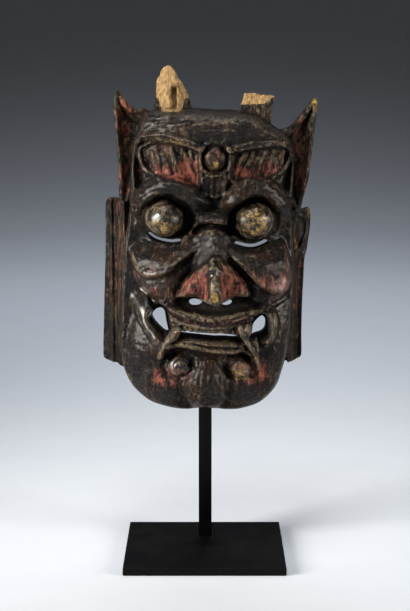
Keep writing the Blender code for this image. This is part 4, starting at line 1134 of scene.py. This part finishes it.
def lacqueredWood():
    # wood carved with knife and gouge, lacquered dark: near black and glossy, brown where it is thin,
    # greyed by dust and darkened by painted shade in the hollows, rubbed to tan on the ridges, flakes of
    # red and gold left; painted highlights and sheen lie among the pale rubbed marks
    made, tree, shader, place = newMaterial("lacqueredWood")
    noises = dict(finishNoises)
    for name, layer in finishLayers.items():
        noises[name + "Edge"] = (layer["size"], 8, 0.75, layer["upright"])
        noises[name + "Tone"] = (layer["size"] * 0.7, 7, 0.7, layer["upright"])
    for name, (size, detail, rough, upright) in noises.items():
        drawnOut = addNode(tree, "ShaderNodeMapping", {"Scale": (1, 1, upright)}, {"Vector": place})
        noises[name] = addNode(tree, "ShaderNodeTexNoise", {
            "Scale": perMetre(size), "Detail": detail, "Roughness": rough}, {"Vector": drawnOut})
    colour = addNode(tree, "ShaderNodeMix", {
        "data_type": "RGBA", "A": linear("#090a0d"), "B": linear("#16171b")}, {"Factor": noises["cloud"]})
    handled = addNode(tree, "ShaderNodeMapRange", {
        "interpolation_type": "SMOOTHSTEP", "From Min": 0.42, "From Max": 0.6, "To Min": 0.15,
    }, {"Value": noises["cloud"]})
    for name, low, high, most, tone, patchy in lacquerTones:
        amount = addNode(tree, "ShaderNodeMapRange", {
            "interpolation_type": "SMOOTHSTEP", "From Min": low, "From Max": high, "To Max": most,
        }, {"Value": noises[name]})
        if patchy:
            amount = addNode(tree, "ShaderNodeMath", {"operation": "MULTIPLY"}, {0: amount, 1: handled})
        colour = addNode(tree, "ShaderNodeMix", {"data_type": "RGBA", "B": linear(tone)},
                         {"Factor": amount, "A": colour})
    roughness = addNode(tree, "ShaderNodeMapRange", {
        "From Min": 0.35, "From Max": 0.65, "To Min": 0.34, "To Max": 0.5}, {"Value": noises["cloud"]})
    height = addNode(tree, "ShaderNodeMath", {"operation": "MULTIPLY", 1: 0.5}, {0: noises["streak"]})
    for name, share in (("fleck", 0.7), ("levelScratch", 0.45), ("uprightScratch", 0.45)):
        height = addNode(tree, "ShaderNodeMath", {"operation": "MULTIPLY_ADD", 1: share},
                         {0: noises[name], 2: height})
    polish = addNode(tree, "ShaderNodeAttribute", {"attribute_name": "polish"})
    gloss = addNode(tree, "ShaderNodeMapRange", {"To Min": 0.1, "To Max": 1.0},
                    {"Value": polish.outputs["Fac"]})
    for name, layer in finishLayers.items():
        amount = addNode(tree, "ShaderNodeAttribute", {"attribute_name": name}).outputs["Fac"]
        flakes = addNode(tree, "ShaderNodeMath", {"operation": "SUBTRACT", 1: 0.5},
                         {0: noises[name + "Edge"]})
        reach = addNode(tree, "ShaderNodeMath", {"operation": "MULTIPLY_ADD", 1: layer["ragged"]},
                        {0: flakes, 2: amount})
        ragged = addNode(tree, "ShaderNodeMapRange", {
            "interpolation_type": "SMOOTHSTEP", "To Max": layer["most"],
            "From Min": layer["edge"][0], "From Max": layer["edge"][1]}, {"Value": reach})
        there = addNode(tree, "ShaderNodeMapRange", {"From Max": 0.12}, {"Value": amount})
        shows = addNode(tree, "ShaderNodeMath", {"operation": "MULTIPLY"}, {0: ragged, 1: there})
        tone = addNode(tree, "ShaderNodeMapRange", {"From Min": 0.36, "From Max": 0.62},
                       {"Value": noises[name + "Tone"]})
        first, second = layer["colours"]
        own = addNode(tree, "ShaderNodeMix", {
            "data_type": "RGBA", "A": linear(first), "B": linear(second)}, {"Factor": tone})
        colour = addNode(tree, "ShaderNodeMix", {"data_type": "RGBA"},
                         {"Factor": shows, "A": colour, "B": own})
        roughness = addNode(tree, "ShaderNodeMix", {"B": layer["roughness"]},
                            {"Factor": shows, "A": roughness})
        if name == "gilding":
            metallic = addNode(tree, "ShaderNodeMath", {"operation": "MULTIPLY", 1: 0.55}, {0: shows})
        if not layer["gloss"]:
            gloss = addNode(tree, "ShaderNodeMix", {"B": 0.0}, {"Factor": shows, "A": gloss})
        if layer["raised"]:
            height = addNode(tree, "ShaderNodeMath", {"operation": "MULTIPLY_ADD", 1: 0.2},
                             {0: shows, 2: height})
    bump = addNode(tree, "ShaderNodeBump", {"Strength": 1, "Distance": 0.0024}, {"Height": height})
    varnish = addNode(tree, "ShaderNodeBump", {"Strength": 1, "Distance": 0.0003}, {"Height": height})
    finishShader(tree, shader, {"Coat Roughness": 0.14, "Coat IOR": 1.6, "Specular IOR Level": 0.12}, {
        "Base Color": colour, "Roughness": roughness, "Metallic": metallic, "Coat Weight": gloss,
        "Normal": bump, "Coat Normal": varnish})
    return made


mask = makeMask(lacqueredWood())
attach(mask, "root")
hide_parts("mask")


# The stand: bar steel, cut and welded, painted satin black. Sizes in metres.
standSizes = {"postWidth": 0.012, "bracketBack": 0.022, "bracketHeight": 0.024, "letIn": 0.001,
              "slotGap": 0.0004, "slotTool": (-0.01, 0.03), "round": 0.0007, "weldWidth": 0.0022,
              "rubbedWidth": 0.0016, "bevelArea": 3e-5, "sharpAngle": 40}


def paintedSteel():
    # steel sprayed satin black: a faint orange peel, dust on what faces up, bright steel at worn edges
    made, tree, shader, place = newMaterial("satinPaintedSteel")
    peel, cloud, speck = (
        addNode(tree, "ShaderNodeTexNoise", {"Scale": perMetre(size), "Detail": detail}, {"Vector": place})
        for size, detail in ((1.6, 3), (22, 6), (0.8, 2)))
    shape = addNode(tree, "ShaderNodeNewGeometry")
    up = addNode(tree, "ShaderNodeSeparateXYZ", {}, {0: shape.outputs["Normal"]}).outputs["Z"]
    lying = addNode(tree, "ShaderNodeMapRange", {"From Min": 0.3, "To Max": 0.5}, {"Value": up})
    dusty, specks, bared, rough = (
        addNode(tree, "ShaderNodeMapRange", dict(zip(("From Min", "From Max", "To Min", "To Max"), span)),
                {"Value": noise})
        for noise, span in ((cloud, (0.42, 0.72)), (speck, (0.66, 0.72)), (cloud, (0.4, 0.5)),
                            (cloud, (0.3, 0.7, 0.42, 0.5))))
    dustAndShade = addNode(tree, "ShaderNodeMath", {"operation": "MULTIPLY"}, {0: lying, 1: dusty})
    dustAndShade = addNode(tree, "ShaderNodeMath", {"operation": "MULTIPLY_ADD", 1: 0.5}, {0: specks, 2: dustAndShade})
    dustAndShade = addNode(tree, "ShaderNodeMath", {"operation": "MULTIPLY", 1: 0.45}, {0: dustAndShade})
    colour = addNode(tree, "ShaderNodeMix", {
        "data_type": "RGBA", "A": linear("#040405"), "B": linear("#242322")}, {"Factor": dustAndShade})
    bump = addNode(tree, "ShaderNodeBump", {"Strength": 0.35, "Distance": 0.0002}, {"Height": peel})
    edge = addNode(tree, "ShaderNodeAttribute", {"attribute_name": "edgeWear"}).outputs["Fac"]
    chips = addNode(tree, "ShaderNodeMath", {"operation": "MULTIPLY"}, {0: edge, 1: bared})
    colour = addNode(tree, "ShaderNodeMix", {"data_type": "RGBA", "B": linear("#8e8c88")},
                     {"Factor": chips, "A": colour})
    finishShader(tree, shader, {"Specular IOR Level": 0.22}, {
        "Base Color": colour, "Roughness": rough, "Metallic": chips, "Normal": bump})
    return made


def brightSteel():
    # turned and slotted steel screws, dulled: fine rings from the lathe and a grey bloom
    made, tree, shader, place = newMaterial("turnedSteel")
    cloud, rings = (
        addNode(tree, "ShaderNodeTexNoise", {"Scale": perMetre(size), "Detail": detail}, {"Vector": place})
        for size, detail in ((2.5, 5), (0.4, 2)))
    colour = addNode(tree, "ShaderNodeMix", {
        "data_type": "RGBA", "A": linear("#6d6c6a"), "B": linear("#aaa9a6")}, {"Factor": cloud})
    rough = addNode(tree, "ShaderNodeMapRange", {"To Min": 0.28, "To Max": 0.55}, {"Value": cloud})
    bump = addNode(tree, "ShaderNodeBump", {"Strength": 0.3, "Distance": 0.0001}, {"Height": rings})
    finishShader(tree, shader, {"Metallic": 1}, {"Base Color": colour, "Roughness": rough, "Normal": bump})
    return made


def boxPoints(low, high):
    (x0, y0, z0), (x1, y1, z1) = low, high
    points = [(x, y, z) for z in (z0, z1) for x, y in ((x0, y0), (x1, y0), (x1, y1), (x0, y1))]
    return points, [(3, 2, 1, 0), (4, 5, 6, 7), (0, 1, 5, 4), (1, 2, 6, 5), (2, 3, 7, 6), (3, 0, 4, 7)]


def steelBox(name, low, high, material):
    return addPiece(name, *boxPoints(low, high), material, smooth=False)


def combine(piece, tool, operation="DIFFERENCE"):
    # the tool taken from the piece or joined to it; the caller settles the piece, then drops the tool
    change = piece.modifiers.new("combine", "BOOLEAN")
    change.object, change.solver, change.operation = tool, "EXACT", operation


def rounded(piece):
    # edges taken off, as ground bar has them
    soft = piece.modifiers.new("edges", "BEVEL")
    soft.width, soft.segments, soft.limit_method, soft.angle_limit = standSizes["round"], 3, "ANGLE", 0.6
    soft.harden_normals = True
    return settle(piece)


def weldSeams(tree, given):
    # beads laid one after another along the seams, joined to the bar
    path = addNode(tree, "GeometryNodeObjectInfo", {}, {"Object": given.outputs["Path"]})
    curve = addNode(tree, "GeometryNodeMeshToCurve", {}, {"Mesh": path.outputs["Geometry"]})
    spaced = addNode(tree, "GeometryNodeResampleCurve", {"mode": "LENGTH"},
                     {"Curve": curve, "Length": given.outputs["Spacing"]})
    bead = addNode(tree, "GeometryNodeMeshIcoSphere", {"Subdivisions": 3},
                   {"Radius": given.outputs["Bead"]})
    size = addNode(tree, "FunctionNodeRandomValue", {"data_type": "FLOAT", 2: 0.8, 3: 1.15},
                   {"Seed": given.outputs["Seed"]})
    beads = addNode(tree, "GeometryNodeInstanceOnPoints", {},
                    {"Points": spaced, "Instance": bead, "Scale": size})
    soft = addNode(tree, "GeometryNodeSetShadeSmooth", {}, {0: beads})
    real = addNode(tree, "GeometryNodeRealizeInstances", {}, {0: soft})
    fused = addNode(tree, "GeometryNodeMeshBoolean", {
        "operation": "UNION", "solver": "EXACT", "Self Intersection": True,
    }, {"Mesh 2": given.outputs["Geometry"]})
    tree.links.new(real.outputs[0], fused.inputs["Mesh 2"])
    clean = addNode(tree, "GeometryNodeMergeByDistance", {"Distance": 0.00002}, {0: fused})
    return addNode(tree, "GeometryNodeSetMaterial", {}, {0: clean, "Material": given.outputs["Material"]})


def makeStand(paint):
    sizes = standSizes
    low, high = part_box("base_plate")
    plate = steelBox("basePlate", low, high, paint)
    postLow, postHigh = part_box("stand_post")
    middleX = (postLow[0] + postHigh[0]) / 2
    left, right = middleX - sizes["postWidth"] / 2, middleX + sizes["postWidth"] / 2
    front, back, gap = sizes["bracketBack"] - sizes["letIn"], postHigh[1], sizes["slotGap"]
    bracketFoot = postHigh[2] - sizes["bracketHeight"]
    toolLow, toolHigh = sizes["slotTool"]
    cutter = steelBox("slotTool", (left - gap, front - gap, toolLow), (right + gap, back + gap, toolHigh),
                      paint)
    combine(plate, cutter)
    rounded(plate)
    post = steelBox("standPost", (left, front, postLow[2]), (right, back, postHigh[2]), paint)
    bracket = steelBox("bracket", (postLow[0], postLow[1], bracketFoot),
                       (postHigh[0], sizes["bracketBack"], postHigh[2]), paint)
    combine(post, bracket, "UNION")
    rounded(post)
    seams = [(x, sizes["bracketBack"], z) for x in (left, right)
             for z in (bracketFoot + sizes["letIn"], postHigh[2] - sizes["letIn"])]
    path = addPiece("weldPath", seams, [], paint, edges=[(0, 1), (2, 3)])
    grown(post, weldSeams, {
        "Path": ("NodeSocketObject", path), "Spacing": ("NodeSocketFloat", 0.5 * sizes["weldWidth"]),
        "Bead": ("NodeSocketFloat", 0.55 * sizes["weldWidth"]), "Seed": ("NodeSocketInt", 5),
        "Material": ("NodeSocketMaterial", paint),
    })
    for tool in (cutter, bracket, path):
        bpy.data.objects.remove(tool)
    post.data.set_sharp_from_angle(angle=math.radians(sizes["sharpAngle"]))
    # paint rubbed off round the slot where the post was driven in
    rubbed = plate.data.attributes.new("edgeWear", "FLOAT", "FACE")
    for n, face in enumerate(plate.data.polygons):
        x, y, z = face.center
        near = max(left - x, x - right, front - y, y - back, high[2] - z) < sizes["rubbedWidth"]
        rubbed.data[n].value = float(near and face.area < sizes["bevelArea"])  # the slot's bevels only
    for piece in (plate, post):
        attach(piece, "root")
    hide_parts("base_plate")
    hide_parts("stand_post")


makeStand(paintedSteel())
print("stand made")

# Two slotted round-head screws: one screw turned about its axis, set at both places.
# Sizes in metres; the stations run from the head's top to the point, as (along, radius).
screwSizes = {"head": 0.0085, "headHeight": 0.0026, "shank": 0.004, "length": 0.020, "slot": 0.001,
              "slotDeep": 0.0013, "thread": 0.0013, "threadDepth": 0.0004, "sides": 36, "headRings": 9,
              "turns": 10, "plainShare": 0.3, "sharpAngle": 38}


def screwPattern(material):
    sizes = screwSizes
    radius, core = sizes["head"] / 2, sizes["shank"] / 2
    stations = [(sizes["headHeight"] * math.sin(a), radius * math.cos(a))
                for a in np.linspace(math.pi / 2 - 0.02, 0, sizes["headRings"])] + [(0, core)]
    for n in range(1, sizes["turns"] + 1):
        start = -sizes["plainShare"] * sizes["length"] - n * sizes["thread"]
        left = sizes["turns"] + 1 - n
        taper = core - sizes["threadDepth"] if left > 3 else core * left / 5
        stations += [(start, taper), (start - 0.5 * sizes["thread"], taper + 0.8 * sizes["threadDepth"])]
    stations += [(-sizes["length"], 0.0001)]
    sides = sizes["sides"]
    ring = [2 * math.pi * n / sides for n in range(sides)]
    points = [(r * math.cos(a), y, r * math.sin(a)) for y, r in stations for a in ring]
    rows = [[n * sides + m for m in range(sides)] for n in range(len(stations))]
    faces = [(above[m], above[(m + 1) % sides], below[(m + 1) % sides], below[m])
             for above, below in zip(rows[:-1], rows[1:]) for m in range(sides)]
    screw = addPiece("screwPattern", points, faces + [rows[0][::-1], rows[-1]], material, smooth=False)
    top, half = sizes["headHeight"], sizes["slot"] / 2
    tool = steelBox("screwSlot", (-radius, top - sizes["slotDeep"], -half), (radius, 2 * top, half),
                    material)
    combine(screw, tool)
    settle(screw)
    screw.data.set_sharp_from_angle(angle=math.radians(sizes["sharpAngle"]))
    bpy.data.objects.remove(tool)
    return screw


def setScrews(tree, given):
    # one screw at each of a row of points
    row = addNode(tree, "GeometryNodeMeshLine", {}, {
        "Count": given.outputs["Count"], "Offset": given.outputs["Step"],
        "Start Location": given.outputs["First"]})
    pattern = addNode(tree, "GeometryNodeObjectInfo", {}, {"Object": given.outputs["Pattern"]})
    turned = addNode(tree, "FunctionNodeRandomValue", {
        "data_type": "FLOAT_VECTOR", 1: (0, 6.2, 0), "Seed": 7})
    placed = addNode(tree, "GeometryNodeInstanceOnPoints", {}, {
        "Points": row, "Rotation": turned, "Instance": pattern.outputs["Geometry"]})
    real = addNode(tree, "GeometryNodeRealizeInstances", {}, {0: placed})
    return addNode(tree, "GeometryNodeSetMaterial", {}, {0: real, "Material": given.outputs["Material"]})


def makeScrews(steel):
    pattern = screwPattern(steel)
    screws = addPiece("mountScrews", [(0, 0, 0)], [], steel, smooth=False)
    places = []
    for node in ("mount_screw_left", "mount_screw_right"):
        low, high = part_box(node)
        seatY = high[1] - screwSizes["headHeight"]
        places.append(Vector(((low[0] + high[0]) / 2, seatY, (low[2] + high[2]) / 2)))
    grown(screws, setScrews, {
        "Pattern": ("NodeSocketObject", pattern), "Count": ("NodeSocketInt", len(places)),
        "First": ("NodeSocketVector", places[0]), "Step": ("NodeSocketVector", places[1] - places[0]),
        "Material": ("NodeSocketMaterial", steel),
    })
    bpy.data.objects.remove(pattern)
    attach(screws, "root")
    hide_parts("mount_screw_left", "mount_screw_right")


makeScrews(brightSteel())
print("screws set")

# The stage: a pale board that runs from the floor up the wall in one sweep, and soft light.
stageSizes = {"halfWidth": 5.0, "front": -1.4, "back": 5.4, "bend": 3.6, "top": 4.0,
              "floor": -0.0002, "steps": 16}


def paleSweep():
    sizes = stageSizes
    bend, foot = sizes["bend"], sizes["back"] - sizes["bend"]
    turns = [math.pi / 2 * n / sizes["steps"] for n in range(1, sizes["steps"] + 1)]
    path = [(sizes["front"], 0), (foot, 0)]
    path += [(foot + bend * math.sin(turn), bend * (1 - math.cos(turn))) for turn in turns]
    path += [(sizes["back"], sizes["top"])]
    points = [(side * sizes["halfWidth"], y, z + sizes["floor"]) for y, z in path for side in (-1, 1)]
    faces = [(2 * n, 2 * n + 1, 2 * n + 3, 2 * n + 2) for n in range(len(path) - 1)]
    # matt painted board: an even pale grey with a faint cloudiness
    paper, tree, shader, place = newMaterial("paleBoard")
    grainy = addNode(tree, "ShaderNodeTexNoise", {"Scale": perMetre(40), "Detail": 4}, {"Vector": place})
    tone = addNode(tree, "ShaderNodeMix", {
        "data_type": "RGBA", "A": linear("#d9dee5"), "B": linear("#dfe4eb")}, {"Factor": grainy})
    finishShader(tree, shader, {"Roughness": 0.85}, {"Base Color": tone})
    return addPiece("paleSweep", points, faces, paper)


paleSweep()

world = bpy.context.scene.world or bpy.data.worlds.new("world")
bpy.context.scene.world = world
world.use_nodes = True
sky = world.node_tree.nodes["Background"]
sky.inputs["Color"].default_value = linear("#d3d2d2")
sky.inputs["Strength"].default_value = 0.085


def softLight(name, place, target, size, power, spread, colour):
    data = bpy.data.lights.new(name, "AREA")
    data.energy, data.size, data.color = power, size, linear(colour)[:3]
    data.spread = math.radians(spread)
    lamp = bpy.data.objects.new(name, data)
    lamp.location = place
    lamp.rotation_euler = (Vector(place) - Vector(target)).to_track_quat("Z", "Y").to_euler()
    bpy.context.scene.collection.objects.link(lamp)


# Sizes in metres, power in watts, spread in degrees.
lights = {
    "keyLight": {"place": (-1.0, -0.45, 0.5), "target": (0, 0, 0.28), "size": 0.55, "power": 3.95,
                 "spread": 68, "colour": "#fffaf2"},
    "fillLight": {"place": (1.0, -0.4, 0.42), "target": (0, 0, 0.26), "size": 0.45, "power": 1.9,
                  "spread": 80, "colour": "#fffaf2"},
    "topLight": {"place": (-0.1, -0.35, 1.2), "target": (0, 0, 0.3), "size": 0.3, "power": 0.8,
                 "spread": 90, "colour": "#ffffff"},
    "floorLight": {"place": (0, 1.1, 1.6), "target": (0, 1.15, 0), "size": 1.4, "power": 8.3,
                   "spread": 130, "colour": "#f1f5fc"},
}
for name, light in lights.items():
    softLight(name, **light)

bpy.context.scene.view_settings.view_transform = "Standard"
bpy.context.scene.view_settings.look = "Medium High Contrast"

# The photo's view: metres and degrees, with the lens and the sensor in millimetres.
viewpoint = {"place": (0.00035, -1.09, 0.4394), "lookDown": 10.75, "lens": 73.06, "sensor": 36,
             "sees": (0.05, 30)}
camera = bpy.data.objects.new("camera", bpy.data.cameras.new("camera"))
bpy.context.scene.collection.objects.link(camera)
camera.location = viewpoint["place"]
camera.rotation_euler = (math.radians(90 - viewpoint["lookDown"]), 0, 0)
camera.data.lens, camera.data.sensor_width = viewpoint["lens"], viewpoint["sensor"]
camera.data.clip_start, camera.data.clip_end = viewpoint["sees"]
bpy.context.scene.camera = camera
